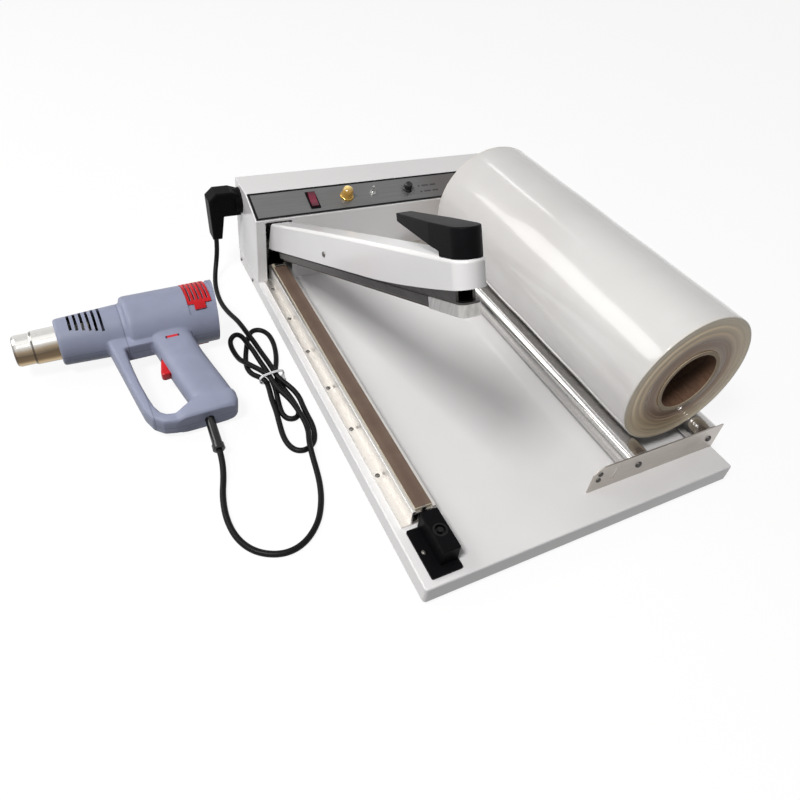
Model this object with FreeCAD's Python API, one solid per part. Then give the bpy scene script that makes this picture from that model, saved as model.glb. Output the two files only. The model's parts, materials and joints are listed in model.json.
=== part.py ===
# Bench sleeve sealer: tray, sealing arm, film roll on rollers, and a hot-air gun on its side outlet.
# Millimetres, +Z up. The machine is drawn from its tray's front left bottom corner (X right, Y back)
# and every piece is moved at the end so that the origin is the middle of its footprint on the floor.
import FreeCAD
import Part
import math
import os

V = FreeCAD.Vector
X_AXIS = V(1, 0, 0)
Y_AXIS = V(0, 1, 0)
Z_AXIS = V(0, 0, 1)

# Tray and feet
tray_width = 430.0
film_width = 440.0
film_front_room = 25.0
film_rear_room = 31.0
bracket_front = 36.0
bracket_to_box = 13.0
box_depth = 105.0
film_start = bracket_front + film_front_room
bracket_span = film_front_room + film_width + film_rear_room
box_front = bracket_front + bracket_span + bracket_to_box
tray_depth = box_front + box_depth
tray_height = 22.0
tray_sheet = 1.5
tray_lip = 30.0
tray_bend = 2.0
foot_height = 6.0
foot_radius = 10.0
foot_inset = 16.0

# Clearances
touch_gap = 0.3
running_gap = 0.05
hole_gap = 0.2

# Control box
box_sheet = 1.5
box_front_height = 102.0
slope_run = 50.0
slope_rise = 18.0
slot_left = 13.5
slot_width = 39.0
slot_head = 3.5
panel_sheet = 0.8
panel_margin = 1.4

# Controls, by their distance from the box's left side; all on the middle line of the slope
control_line = 26.5
rocker_x = 92.5
lamp_x = 146.0
toggle_x = 188.5
timer_x = 248.0
rocker_width = 10.6
rocker_length = 27.0
rocker_bezel = 2.0
rocker_wall = 1.0
rocker_lean = 8.0
lamp_radius = 8.6
lamp_height = 15.0
lamp_ring = 1.8
toggle_bush_radius = 3.0
toggle_bush_height = 5.0
toggle_lever_length = 10.5
toggle_throw = 24.0
timer_knob_radius = 7.6
timer_knob_height = 11.0
timer_stem_radius = 3.0

# Arm pivot and seal bed; the arm is drawn pressed down and then raised about its pivot
pivot_inside = 33.8
pivot_y = box_front + pivot_inside
pivot_z = 70.0
pivot_radius = 5.0
arm_centre = 33.0
arm_open = 26.3
bed_front = 73.0
bed_left = 19.0
bed_width = 28.0
bed_top = 45.0
bed_wall = 2.0
bed_flange = 10.0
bed_flange_sheet = 2.5
bed_screw_first = 145.0
bed_screw_end = 25.0
bed_screw_count = 6
bed_screw_pitch = (box_front - bed_screw_end - bed_screw_first) / (bed_screw_count - 1)
insulator_width = 20.0
insulator_seat = 3.0
insulator_thickness = 4.4
wire_width = 4.0
wire_thickness = 0.3
strip_thickness = 0.3

# Sealing arm, measured from the pivot: run forwards along the arm, height above the pivot
cover_width = 28.0
cover_wall = 2.0
cover_rear_run = 26.0
cover_rear_slope = 35.0
cover_bottom = -8.3
cover_top_rear = 29.0
cover_top_front = 24.0
nose_margin = 3.8
cover_nose_run = pivot_y - nose_margin
cover_nose_bottom = 1.6
cover_curve_run = cover_nose_run - 164.0
channel_width = 18.0
channel_sheet = 2.5
channel_height = 24.0
channel_bottom = -10.0
channel_tail = 36.0
channel_front_run = cover_nose_run - 19.0
thin_plate_sheet = 1.6
thin_plate_run = cover_nose_run - 9.0
bar_rear_run = 67.0
bar_width = 20.0
bar_height = 8.4
silicone_width = 12.0
silicone_thickness = 2.7
armature_rear_run = cover_nose_run - 64.0
armature_run = cover_nose_run - 13.0
handle_rear_run = cover_nose_run - 114.0
handle_step_run = cover_nose_run - 33.0
handle_rear_top = 54.6
handle_front_top = 47.2
handle_rear_bottom = 48.0
handle_step_height = 4.0
handle_rear_width = 16.0
handle_inset = 1.0
side_screw_run = 272.0
side_screw_height = 4.0

# Front magnet block
block_left = 11.0
block_front = 8.0
block_flange_width = 35.5
block_flange_depth = 59.5
block_flange_sheet = 2.5
block_rise = 24.5
block_width = 21.0
block_depth = 51.5
block_step = 10.0
magnet_radius = 8.0

# Film rollers, their brackets and the film roll
roller_radius = 18.0
roller_wall = 1.5
roller_inside = 70.2
roller_pitch = 115.2
roller_height = 20.5
axle_radius = 5.0
bush_depth = 12.0
bracket_left = tray_width - 203.0
roller_x = bracket_left + roller_inside
bracket_right = tray_width - 1.0
bracket_sheet = 1.5
bracket_height = 40.0
bracket_foot = 14.0
bracket_corner = 12.0
film_radius = 90.0
core_bore = 38.5
core_wall = 5.0

# Outlet and plug in the box's left side
outlet_inside = 22.0
outlet_y = tray_depth - outlet_inside
outlet_z = 116.0
outlet_radius = 19.0
plug_reach = 48.0
plug_width = 28.0
plug_contact_radius = 18.0
plug_neck_drop = 54.0

# Hot-air gun, drawn along its own axis: x back from the air outlet, y away from the grip
gun_forward = 146.0
gun_place = V(-90.0, outlet_y - gun_forward, 35.3)
gun_yaw = 3.0
gun_roll = 7.0
gun_body_radius = 41.0
gun_wall = 2.6
gun_front = -184.0
gun_front_radius = 29.3
gun_step = -98.0
gun_step_radius = 33.0
gun_rear = 15.0
gun_rear_slant = 10.0
nozzle_length = 48.0
nozzle_root_radius = 21.4
nozzle_tip_radius = 19.4
nozzle_wall = 1.0
grip_half = 17.0
guard_half = 13.0
grip_bottom = -175.0
gun_slot_count = 6
gun_slot_pitch = 7.0
shutter_front = -23.0
shutter_sheet = 1.8
shutter_proud = 0.3
shutter_half_angle = 118.0
shutter_travel = 5.0
trigger_travel = 4.0
relief_length = 50.0
relief_radius = 5.6

# Cord
cord_radius = 3.5

# Places worked out from the sizes above
box_edge = tray_height + box_front_height
box_top = box_edge + slope_rise
slope_angle = math.degrees(math.atan2(slope_rise, slope_run))
slope_length = math.hypot(slope_run, slope_rise)
roller_z = tray_height + roller_height
film_x = roller_x + roller_pitch / 2
film_z = roller_z + math.sqrt((film_radius + roller_radius + touch_gap) ** 2 - (roller_pitch / 2) ** 2)
bar_bottom = channel_bottom - thin_plate_sheet - bar_height
nose_centre_run = cover_nose_run - cover_width / 2


# Small helpers
def box(x0, x1, y0, y1, z0, z1):
    return Part.makeBox(x1 - x0, y1 - y0, z1 - z0, V(x0, y0, z0))


def rod(start, direction, radius, length):
    return Part.makeCylinder(radius, length, start, direction)


def tube(start, direction, outer, inner, length):
    return rod(start, direction, outer, length).cut(rod(start, direction, inner, length))


def hexagon(centre, across, height):
    corners = [V(across / math.sqrt(3), 0, 0)]
    turn = FreeCAD.Rotation(Z_AXIS, 60)
    for _ in range(6):
        corners.append(turn.multVec(corners[-1]))
    face = Part.Face(Part.makePolygon(corners[:6] + corners[:1]))
    nut = face.extrude(V(0, 0, height))
    nut.translate(centre)
    return nut


def outline(points, plane, level):
    placed = {"xy": lambda a, b: V(a, b, level),
              "xz": lambda a, b: V(a, level, b),
              "yz": lambda a, b: V(level, a, b)}[plane]
    corners = [placed(a, b) for a, b in points]
    return Part.Face(Part.makePolygon(corners + corners[:1]))


def prism(points, plane, low, high):
    direction = {"xy": Z_AXIS, "xz": Y_AXIS, "yz": X_AXIS}[plane]
    return outline(points, plane, low).extrude(direction * (high - low))


def turned(profile, centre, axis, angle=360.0):
    # profile: (distance along the axis, radius) pairs; it is spun about the axis
    side = X_AXIS if abs(axis.x) < 0.9 else Y_AXIS
    corners = [centre + axis * along + side * radius for along, radius in profile]
    face = Part.Face(Part.makePolygon(corners + corners[:1]))
    return face.revolve(centre, axis, angle)


def rounded(shape, radius, wanted):
    edges = [edge for edge in shape.Edges if wanted(edge)]
    return shape.makeFillet(radius, edges)


def runs_along(edge, axis):
    if not isinstance(edge.Curve, Part.Line):
        return False
    return abs(abs(edge.Curve.Direction.dot(axis)) - 1) < 1e-6


def middle(edge):
    return edge.CenterOfMass


def pan_screw(seat, direction, shank_radius=1.9, length=8.0, head_radius=3.6, head_height=2.2):
    # a pan-head screw: its head stands on the seat, its shank goes the other way
    dome = Part.makeSphere(head_radius * 1.25, seat - direction * (head_radius * 1.25 - head_height))
    head = rod(seat, direction, head_radius, head_height).common(dome)
    across = direction.cross(Y_AXIS if abs(direction.y) < 0.9 else X_AXIS).normalize()
    along = direction.cross(across)
    slot = rod(seat + direction * (head_height - 0.8) - along * head_radius, along, 0.5, 2 * head_radius)
    shank = rod(seat, direction * -1, shank_radius, length)
    return head.fuse(shank).cut(slot)


def on_slope(shape):
    # from panel coordinates (x across, y up the slope, z out of it) to the slope of the box
    shape.rotate(V(0, 0, 0), X_AXIS, slope_angle)
    shape.translate(V(0, box_front, box_edge))
    return shape


def raised(shape):
    shape.rotate(V(0, pivot_y, pivot_z), X_AXIS, -arm_open)
    return shape


def gun_rotation():
    return FreeCAD.Rotation(Z_AXIS, gun_yaw).multiply(FreeCAD.Rotation(X_AXIS, gun_roll))


def on_floor(shape):
    # from the gun's own axes to where it lies beside the machine
    shape.Placement = FreeCAD.Placement(gun_place, gun_rotation()).multiply(shape.Placement)
    return shape


pieces = {}


def keep(node, *solids):
    pieces[node] = solids[0] if len(solids) == 1 else Part.makeCompound(list(solids))


def export_all():
    # the origin is the middle of the footprint of everything except the cord
    bounds = FreeCAD.BoundBox()
    for node, shape in pieces.items():
        if node not in cord_pieces:
            bounds.add(shape.optimalBoundingBox())
    shift = V(-bounds.Center.x, -bounds.Center.y, -bounds.ZMin)
    print("tray corner at", [round(v, 3) for v in shift], "size", round(bounds.XLength, 2),
          round(bounds.YLength, 2), round(bounds.ZLength, 2))
    for node, shape in pieces.items():
        placed = shape.copy()
        placed.translate(shift)
        placed.exportStep("parts/" + node + ".step")


# Tray
def base_tray():
    body = box(0, tray_width, 0, tray_depth, 0, tray_height)
    body = rounded(body, 4.0, lambda e: runs_along(e, Z_AXIS))
    body = rounded(body, tray_bend, lambda e: abs(middle(e).z - tray_height) < 1e-6)
    body = body.cut(box(tray_sheet, tray_width - tray_sheet, tray_sheet, tray_depth - tray_sheet,
                        tray_sheet, tray_height - tray_sheet))
    body = body.cut(box(tray_lip, tray_width - tray_lip, tray_lip, tray_depth - tray_lip, 0, tray_sheet))
    for seat, direction, shank in screw_seats():
        body = body.cut(rod(seat + direction * 1, direction * -1, shank + hole_gap, 12))
    for x, y in foot_places():
        body = body.cut(rod(V(x, y, 0), Z_AXIS, 2 + hole_gap, tray_sheet))
    return body


def foot_places():
    return [(x, y) for x in (foot_inset, tray_width - foot_inset)
            for y in (foot_inset, tray_depth - foot_inset)]


def rubber_feet():
    feet = []
    for x, y in foot_places():
        foot = turned([(0, 0), (0, foot_radius - 1.5), (1.0, foot_radius - 0.8),
                       (foot_height, foot_radius), (foot_height, 0)], V(x, y, -foot_height), Z_AXIS)
        foot = foot.cut(rod(V(x, y, -foot_height), Z_AXIS, 4.4, 3.2))
        feet.append(foot.cut(rod(V(x, y, -foot_height), Z_AXIS, 2 + hole_gap, foot_height)))
    return feet


def foot_screws():
    screws = []
    for x, y in foot_places():
        seat = V(x, y, 3.2 - foot_height)
        screw = rod(seat, Z_AXIS, 2, foot_height + 3)
        screws.append(screw.fuse(rod(seat, Z_AXIS * -1, 3.8, 2)).fuse(hexagon(V(x, y, tray_sheet), 7, 3)))
    return screws


# Places of the machine's small pan-head screws: seat, direction of the head, shank radius
def screw_seats():
    seats = []
    for k in range(bed_screw_count):
        seats.append((V(bed_left - bed_flange / 2, bed_screw_first + k * bed_screw_pitch,
                        tray_height + bed_flange_sheet), Z_AXIS, 1.5))
    seats.append((V(block_left + 6, block_front + 30, tray_height + block_flange_sheet), Z_AXIS, 1.9))
    for y in bracket_feet():
        for x in (roller_x + roller_pitch * 0.32, roller_x + roller_pitch * 0.68):
            seats.append((V(x, y, tray_height + bracket_sheet), Z_AXIS, 1.9))
    for y in (box_front + 32, tray_depth - 12):
        seats.append((V(0, y, tray_height / 2 - 4), X_AXIS * -1, 1.5))
        seats.append((V(tray_width, y, tray_height / 2 - 4), X_AXIS, 1.5))
    return seats


def bracket_feet():
    back = bracket_front + bracket_span
    return [bracket_front + bracket_sheet + bracket_foot / 2, back - bracket_foot / 2]


def pan_screws():
    screws = []
    for seat, direction, shank in screw_seats():
        screws.append(pan_screw(seat, direction, shank, 7.0, shank + 1.3, 1.8))
    return screws


# Control box
def box_profile(inset):
    tangent = math.tan(math.radians(slope_angle))
    drop = inset / math.cos(math.radians(slope_angle))
    top = box_top - inset
    return [(box_front + inset, tray_height), (box_front + inset, box_edge + inset * tangent - drop),
            (box_front + (top - box_edge + drop) / tangent, top),
            (tray_depth - inset, top), (tray_depth - inset, tray_height)]


def control_box_housing():
    shell = prism(box_profile(0), "yz", 0, tray_width)
    shell = rounded(shell, 1.4, lambda e: middle(e).z > tray_height + 1)
    shell = shell.cut(prism(box_profile(box_sheet), "yz", box_sheet, tray_width - box_sheet))
    slot_top = box_edge - slot_head
    shell = shell.cut(box(slot_left, slot_left + slot_width, box_front - 1, box_front + box_sheet + 1,
                          tray_height, slot_top))
    for cutter in panel_cutters(box_sheet):
        shell = shell.cut(cutter)
    shell = shell.cut(rod(V(-1, outlet_y, outlet_z), X_AXIS, outlet_radius - 3 + hole_gap, box_sheet + 2))
    for k in range(7):
        vent = box(-1, box_sheet + 1, box_front + 15 + k * 7, box_front + 18 + k * 7, 40, 62)
        vent.translate(V(tray_width - box_sheet, 0, 0))
        shell = shell.cut(vent)
    shell = shell.cut(rod(V(gland_x, tray_depth - box_sheet - 1, gland_z), Y_AXIS,
                          gland_radius + hole_gap, 4))
    return shell


gland_x = 372.0
gland_z = 48.0
gland_radius = 7.0


def panel_cutters(depth):
    reach = depth + panel_sheet + 2
    half_width = rocker_width / 2 + touch_gap + rocker_wall + hole_gap
    half_length = rocker_length / 2 + touch_gap + rocker_wall + hole_gap
    cutters = [box(rocker_x - half_width, rocker_x + half_width, control_line - half_length,
                   control_line + half_length, -depth - 1, panel_sheet + 1)]
    for x, radius in ((lamp_x, lamp_radius - 1 + hole_gap), (toggle_x, toggle_bush_radius + hole_gap),
                      (timer_x, timer_stem_radius + 1.5 + hole_gap)):
        cutters.append(rod(V(x, control_line, -depth - 1), Z_AXIS, radius, reach))
    return [on_slope(cutter) for cutter in cutters]


def control_panel():
    plate = box(panel_margin, tray_width - panel_margin, panel_margin, slope_length - panel_margin,
                0, panel_sheet)
    plate = on_slope(rounded(plate, 1.0, lambda e: runs_along(e, Z_AXIS)))
    for cutter in panel_cutters(box_sheet):
        plate = plate.cut(cutter)
    return plate


# Rocker switch: a frame with a well, and a button that rocks on two small pins
rocker_pivot = -1.0
rocker_pin = 1.2


def rocker_switch_body():
    half_width = rocker_width / 2 + touch_gap
    half_length = rocker_length / 2 + touch_gap
    body = box(-half_width - rocker_wall, half_width + rocker_wall, -half_length - rocker_wall,
               half_length + rocker_wall, -22, panel_sheet)
    frame = box(-half_width - rocker_bezel, half_width + rocker_bezel, -half_length - rocker_bezel,
                half_length + rocker_bezel, panel_sheet, panel_sheet + 1.6)
    frame = rounded(frame, 0.8, lambda e: middle(e).z > panel_sheet + 1.5)
    body = body.fuse(frame)
    body = body.cut(box(-half_width, half_width, -half_length, half_length, -15.5, panel_sheet + 2))
    body = body.cut(rod(V(-half_width - 0.8, 0, rocker_pivot), X_AXIS, rocker_pin + running_gap,
                        2 * half_width + 1.6))
    for y in (-8, 0, 8):
        body = body.fuse(box(-0.4, 0.4, y - 2.4, y + 2.4, -30, -21))
    body.translate(V(rocker_x, control_line, 0))
    return on_slope(body)


def rocker_button():
    half_length = rocker_length / 2
    tip = panel_sheet + 4.6
    top = [(-half_length - 1, rocker_pivot), (-half_length - 1, tip + 0.4), (0, tip - 2.2),
           (half_length + 1, tip + 0.4), (half_length + 1, rocker_pivot)]
    button = prism(top, "yz", -rocker_width / 2, rocker_width / 2)
    skirt = rod(V(-rocker_width / 2, 0, rocker_pivot), X_AXIS, half_length, rocker_width)
    button = button.common(skirt)
    button = button.fuse(rod(V(-rocker_width / 2 - 0.7, 0, rocker_pivot), X_AXIS, rocker_pin,
                             rocker_width + 1.4))
    button.rotate(V(0, 0, rocker_pivot), X_AXIS, rocker_lean)
    button.translate(V(rocker_x, control_line, 0))
    return on_slope(button)


# Pilot lamp: ring, body behind the panel, domed lens
def pilot_lamp_body():
    ring = turned([(0, lamp_radius - 1.4), (0, lamp_radius + lamp_ring), (2.0, lamp_radius + lamp_ring - 0.5),
                   (2.6, lamp_radius + 0.5), (2.6, lamp_radius - 1.4)], V(0, 0, panel_sheet), Z_AXIS)
    neck = tube(V(0, 0, -24), Z_AXIS, lamp_radius - 1, lamp_radius - 2.4, 24 + panel_sheet + 1)
    body = ring.fuse(neck).fuse(rod(V(0, 0, -26), Z_AXIS, lamp_radius - 1, 3))
    body.translate(V(lamp_x, control_line, 0))
    return on_slope(body)


def pilot_lamp_lens():
    r = lamp_radius - 0.2
    foot = panel_sheet + 2.6
    lens = turned([(0, 0), (0, r), (lamp_height - 6, r - 0.4), (lamp_height - 2.4, r - 1.6),
                   (lamp_height - 0.8, r - 3.6), (lamp_height, r - 6.4), (lamp_height, 0)],
                  V(0, 0, foot), Z_AXIS)
    lens = lens.fuse(rod(V(0, 0, -8), Z_AXIS, lamp_radius - 2.6, foot + 8))
    lens.translate(V(lamp_x, control_line, 0))
    return on_slope(lens)


# Toggle switch: threaded bush with its nut, and a bat-shaped lever
def toggle_switch_body():
    bush = tube(V(0, 0, -9), Z_AXIS, toggle_bush_radius, 2.3, 9 + panel_sheet + toggle_bush_height)
    nut = hexagon(V(0, 0, panel_sheet), 8, 1.9).cut(rod(V(0, 0, 0), Z_AXIS, toggle_bush_radius, 9))
    case = box(-4, 4, -6.5, 6.5, -20, -8)
    body = bush.fuse(nut).fuse(case)
    for y in (-4.5, 0, 4.5):
        body = body.fuse(box(-0.3, 0.3, y - 0.9, y + 0.9, -25, -19))
    body.translate(V(toggle_x, control_line, 0))
    return on_slope(body)


def toggle_pivot():
    return panel_sheet + toggle_bush_height - 2.2


def toggle_lever():
    lever = turned([(0, 0), (0, 0.85), (3.0, 0.95), (toggle_lever_length - 2, 1.5),
                    (toggle_lever_length - 0.6, 1.3), (toggle_lever_length, 0.6), (toggle_lever_length, 0)],
                   V(0, 0, 0), Z_AXIS)
    lever = lever.fuse(Part.makeSphere(1.7, V(0, 0, 0)))
    lever.rotate(V(0, 0, 0), X_AXIS, -toggle_throw / 2)
    lever.translate(V(toggle_x, control_line, toggle_pivot()))
    return on_slope(lever)


# Timer: potentiometer behind the panel, knob and stem in front
def timer_potentiometer():
    bush = tube(V(0, 0, -7), Z_AXIS, timer_stem_radius + 1.5, timer_stem_radius + running_gap,
                7 + panel_sheet + 2.6)
    can = rod(V(0, 0, -17), Z_AXIS, 8, 17 - box_sheet)
    can = can.cut(rod(V(0, 0, -13), Z_AXIS, timer_stem_radius + 0.4, 13))
    body = bush.fuse(can)
    for x in (-4, 0, 4):
        body = body.fuse(box(x - 0.8, x + 0.8, -14, -6, -13, -12.2))
    body.translate(V(timer_x, control_line, 0))
    return on_slope(body)


def timer_knob():
    foot = panel_sheet + 0.6
    r = timer_knob_radius
    h = timer_knob_height
    knob = turned([(0, 0), (0, r), (2.0, r), (3.0, r - 1.0), (h - 1.2, r - 1.6), (h, r - 2.8), (h, 0)],
                  V(0, 0, foot), Z_AXIS)
    knob = knob.cut(rod(V(0, 0, foot), Z_AXIS, timer_stem_radius + 1.5 + touch_gap, 2.6))
    for k in range(12):
        angle = math.radians(30 * k + 15)
        groove = rod(V((r - 0.8) * math.cos(angle), (r - 0.8) * math.sin(angle), foot + 3.2), Z_AXIS, 0.7, h)
        knob = knob.cut(groove)
    knob = knob.cut(box(-0.5, 0.5, 1.5, r, foot + h - 0.6, foot + h + 1))
    stem = rod(V(0, 0, -10), Z_AXIS, timer_stem_radius, foot + 2.6 + 10)
    knob = knob.fuse(stem)
    knob.translate(V(timer_x, control_line, 0))
    return on_slope(knob)


# Outlet in the side wall, and the plug in it
pin_radius = 2.4
pin_pitch = 19.0
outlet_rim = 2.5


def plug_pins():
    return [rod(V(0, outlet_y + side * pin_pitch / 2, outlet_z), X_AXIS, pin_radius, 12)
            for side in (-1, 1)]


def outlet_socket():
    centre = V(-outlet_rim, outlet_y, outlet_z)
    body = turned([(0, 0), (0, outlet_radius - 0.6), (1.0, outlet_radius), (outlet_rim, outlet_radius),
                   (outlet_rim, outlet_radius - 3), (24, outlet_radius - 3), (24, 0)], centre, X_AXIS)
    for pin in plug_pins():
        body = body.cut(rod(V(-outlet_rim, pin.CenterOfMass.y, outlet_z), X_AXIS, pin_radius + running_gap,
                            12 + outlet_rim + 0.5))
    return body


def power_plug():
    face = -outlet_rim
    top = outlet_z + plug_contact_radius
    bottom = outlet_z - plug_contact_radius
    neck_end = outlet_z - plug_neck_drop
    shape = [(face, bottom), (face, top - 3), (face - 12, top + 1.5), (-plug_reach + 11, top + 1.5),
             (-plug_reach, top - 9), (-plug_reach + 2.5, neck_end), (-plug_reach + 16, neck_end),
             (-plug_reach + 21, bottom)]
    body = prism(shape, "xz", outlet_y - plug_width / 2, outlet_y + plug_width / 2)
    body = rounded(body, 3.0, lambda e: not runs_along(e, Y_AXIS) and middle(e).x < face - 3)
    disc = rod(V(face, outlet_y, outlet_z), X_AXIS * -1, plug_contact_radius, 7)
    pins = [rod(V(face - 4, pin.CenterOfMass.y, outlet_z), X_AXIS, pin_radius, 4 - face + 12)
            for pin in plug_pins()]
    body = body.fuse(disc)
    for pin in pins:
        body = body.cut(pin)
    return [body] + pins


def cord_plug_exit():
    return V(-plug_reach + 9.25, outlet_y, outlet_z - plug_neck_drop)


# Inside the box
def transformer():
    x0, y0, z0 = tray_width - 134, box_front + 15, tray_height
    core = box(x0, x0 + 84, y0 + 14, y0 + 50, z0 + 3, z0 + 73)
    core = core.cut(box(x0 + 14, x0 + 35, y0 + 13, y0 + 51, z0 + 17, z0 + 59))
    core = core.cut(box(x0 + 49, x0 + 70, y0 + 13, y0 + 51, z0 + 17, z0 + 59))
    core = core.fuse(box(x0 - 8, x0 + 92, y0 + 12, y0 + 52, z0, z0 + 3))
    coil = box(x0 + 14.3, x0 + 69.7, y0 + 2, y0 + 62, z0 + 17.3, z0 + 58.7)
    coil = rounded(coil, 6, lambda e: runs_along(e, Z_AXIS))
    coil = coil.cut(box(x0 + 35, x0 + 49, y0 + 14, y0 + 50, z0 + 17, z0 + 59))
    return [core, coil]


def timer_board():
    x0, y0, z0 = tray_width - 280, box_front + 27, tray_height
    board = box(x0, x0 + 90, y0, y0 + 60, z0 + 8, z0 + 9.6)
    for x, y in ((5, 5), (85, 5), (5, 55), (85, 55)):
        board = board.fuse(rod(V(x0 + x, y0 + y, z0), Z_AXIS, 3, 8))
    relay = box(x0 + 12, x0 + 40, y0 + 14, y0 + 30, z0 + 9.6, z0 + 25)
    terminals = box(x0 + 55, x0 + 85, y0 + 44, y0 + 54, z0 + 9.6, z0 + 21)
    capacitor = rod(V(x0 + 60, y0 + 24, z0 + 9.6), Z_AXIS, 6, 20)
    return board.fuse(relay).fuse(terminals).fuse(capacitor)


def mains_gland():
    centre = V(gland_x, tray_depth - box_sheet - 8, gland_z)
    body = turned([(0, 4), (0, gland_radius), (8 + box_sheet, gland_radius),
                   (8 + box_sheet, gland_radius + 4), (14, gland_radius + 4),
                   (14 + 6, gland_radius - 0.5), (14 + 6, 4)], centre, Y_AXIS)
    nut = tube(centre + Y_AXIS * 3, Y_AXIS, gland_radius + 4, gland_radius - 1, 5)
    return body.fuse(nut)


# Seal bed
def bed_rear():
    return box_front + box_sheet + 8


def seal_bed():
    left, right = bed_left, bed_left + bed_width
    body = box(left, right, bed_front, bed_rear(), tray_height, bed_top)
    body = rounded(body, 1.0, lambda e: runs_along(e, Y_AXIS) and middle(e).z > bed_top - 1)
    body = body.fuse(box(left - bed_flange, left + 1, bed_front, box_front - touch_gap,
                         tray_height, tray_height + bed_flange_sheet))
    body = body.cut(box(left + bed_wall, right - bed_wall, bed_front - 1, bed_rear() + 1,
                        tray_height + bed_wall, bed_top - insulator_seat - bed_wall))
    body = body.cut(box(arm_centre - insulator_width / 2, arm_centre + insulator_width / 2, bed_front - 1,
                        bed_rear() + 1, bed_top - insulator_seat, bed_top + 1))
    body = body.cut(box(arm_centre - wire_width, arm_centre + wire_width, bed_front - 1, bed_front + 1.6,
                        tray_height + bed_wall, bed_top + 1))
    for seat, direction, shank in screw_seats()[:bed_screw_count]:
        body = body.cut(rod(seat + direction, direction * -1, shank + hole_gap, 9))
    return body


def insulator_level():
    return bed_top - insulator_seat + insulator_thickness


def heater_insulator():
    bar = box(arm_centre - insulator_width / 2, arm_centre + insulator_width / 2, bed_front + 2,
              bed_rear() - 2, bed_top - insulator_seat, insulator_level())
    return rounded(bar, 0.6, lambda e: runs_along(e, Y_AXIS) and middle(e).z > insulator_level() - 0.1)


def heating_wire():
    left, right = arm_centre - wire_width / 2, arm_centre + wire_width / 2
    ribbon = box(left, right, bed_front + 1, bed_rear() - 4, insulator_level(),
                 insulator_level() + wire_thickness)
    return ribbon.fuse(box(left, right, bed_front + 1, bed_front + 1 + wire_thickness, tray_height + 8,
                           insulator_level() + wire_thickness))


def teflon_strip():
    low = insulator_level() + wire_thickness
    return box(arm_centre - insulator_width / 2 + 0.5, arm_centre + insulator_width / 2 - 0.5,
               bed_front + 3, bed_rear() - 12, low, low + strip_thickness)


def wire_clamps():
    # the front one is inside the bed, behind the ribbon's turned-down end; the rear one is on top
    front = bed_front + 1 + wire_thickness
    inner = box(arm_centre - 6, arm_centre + 6, front, front + 12, tray_height + bed_wall,
                bed_top - insulator_seat - bed_wall)
    level = insulator_level() + wire_thickness
    rear = bed_rear() - 11.5
    outer = box(arm_centre - 7, arm_centre + 7, rear, rear + 6, level, level + 3)
    outer = rounded(outer, 0.6, lambda e: middle(e).z > level + 2.9)
    return [inner, outer]


# Front magnet block
def magnet_block():
    left = arm_centre - block_width / 2 + 2.5
    front = block_front + block_step
    top = tray_height + block_rise
    flange = box(block_left, block_left + block_flange_width, block_front, block_front + block_flange_depth,
                 tray_height, tray_height + block_flange_sheet)
    flange = rounded(flange, 2.0, lambda e: runs_along(e, Z_AXIS))
    upright = box(left, left + block_width, front, front + block_depth, tray_height, top)
    upright = rounded(upright, 1.5, lambda e: runs_along(e, Z_AXIS) or middle(e).z > top - 0.1)
    block = flange.fuse(upright)
    block = block.cut(rod(magnet_centre() + Z_AXIS * 1, Z_AXIS * -1, magnet_radius + hole_gap, 20))
    seat, direction, shank = screw_seats()[bed_screw_count]
    return block.cut(rod(seat + direction, direction * -1, shank + hole_gap, 9))


def magnet_centre():
    return V(arm_centre + 2.5, block_front + block_step + block_depth / 2, tray_height + block_rise)


def holding_magnet():
    top = magnet_centre()
    core = turned([(-19, 0), (-19, magnet_radius), (-0.3, magnet_radius), (-0.3, magnet_radius - 2),
                   (-4, magnet_radius - 2), (-4, 3), (-0.3, 3), (-0.3, 0)], top, Z_AXIS)
    return core


# Film rollers
def roller_bracket(front):
    back = 1 if front else -1
    y0 = bracket_front if front else bracket_front + bracket_span
    top = tray_height + bracket_height
    corner = bracket_corner
    plate = prism([(bracket_left, tray_height), (bracket_right, tray_height), (bracket_right, top),
                   (bracket_left + corner, top), (bracket_left + corner * 0.35, top - corner * 0.3),
                   (bracket_left, top - corner * 0.75)],
                  "xz", min(y0, y0 + back * bracket_sheet), max(y0, y0 + back * bracket_sheet))
    inner = y0 + back * bracket_sheet
    foot = box(roller_x - 12, roller_x + roller_pitch + 12, min(inner, inner + back * bracket_foot),
               max(inner, inner + back * bracket_foot), tray_height, tray_height + bracket_sheet)
    plate = plate.fuse(foot)
    low = min(y0, inner) - 1
    for x in (roller_x, roller_x + roller_pitch):
        plate = plate.cut(rod(V(x, low, roller_z), Y_AXIS, 2.5 + hole_gap, bracket_sheet + 2))
    slot_x = bracket_left + 32
    plate = plate.cut(box(slot_x, slot_x + 3, low, low + bracket_sheet + 2,
                          tray_height + 10, tray_height + 32))
    for z in (19, 29):
        plate = plate.cut(rod(V(bracket_left + 10, low, tray_height + z), Y_AXIS, 1.9 + hole_gap,
                              bracket_sheet + 2))
    for seat, direction, shank in screw_seats():
        plate = plate.cut(rod(seat + direction, direction * -1, shank + hole_gap, 3))
    return plate


def roller_ends():
    return bracket_front + bracket_sheet, bracket_front + bracket_span - bracket_sheet


def roller_axles():
    start, end = roller_ends()
    axles = []
    for x in (roller_x, roller_x + roller_pitch):
        axle = rod(V(x, start, roller_z), Y_AXIS, axle_radius, end - start)
        for y, direction in ((start, Y_AXIS), (end, Y_AXIS * -1)):
            axle = axle.cut(rod(V(x, y, roller_z), direction, 2.5 + running_gap, 12))
        axles.append(axle)
    return axles


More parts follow.
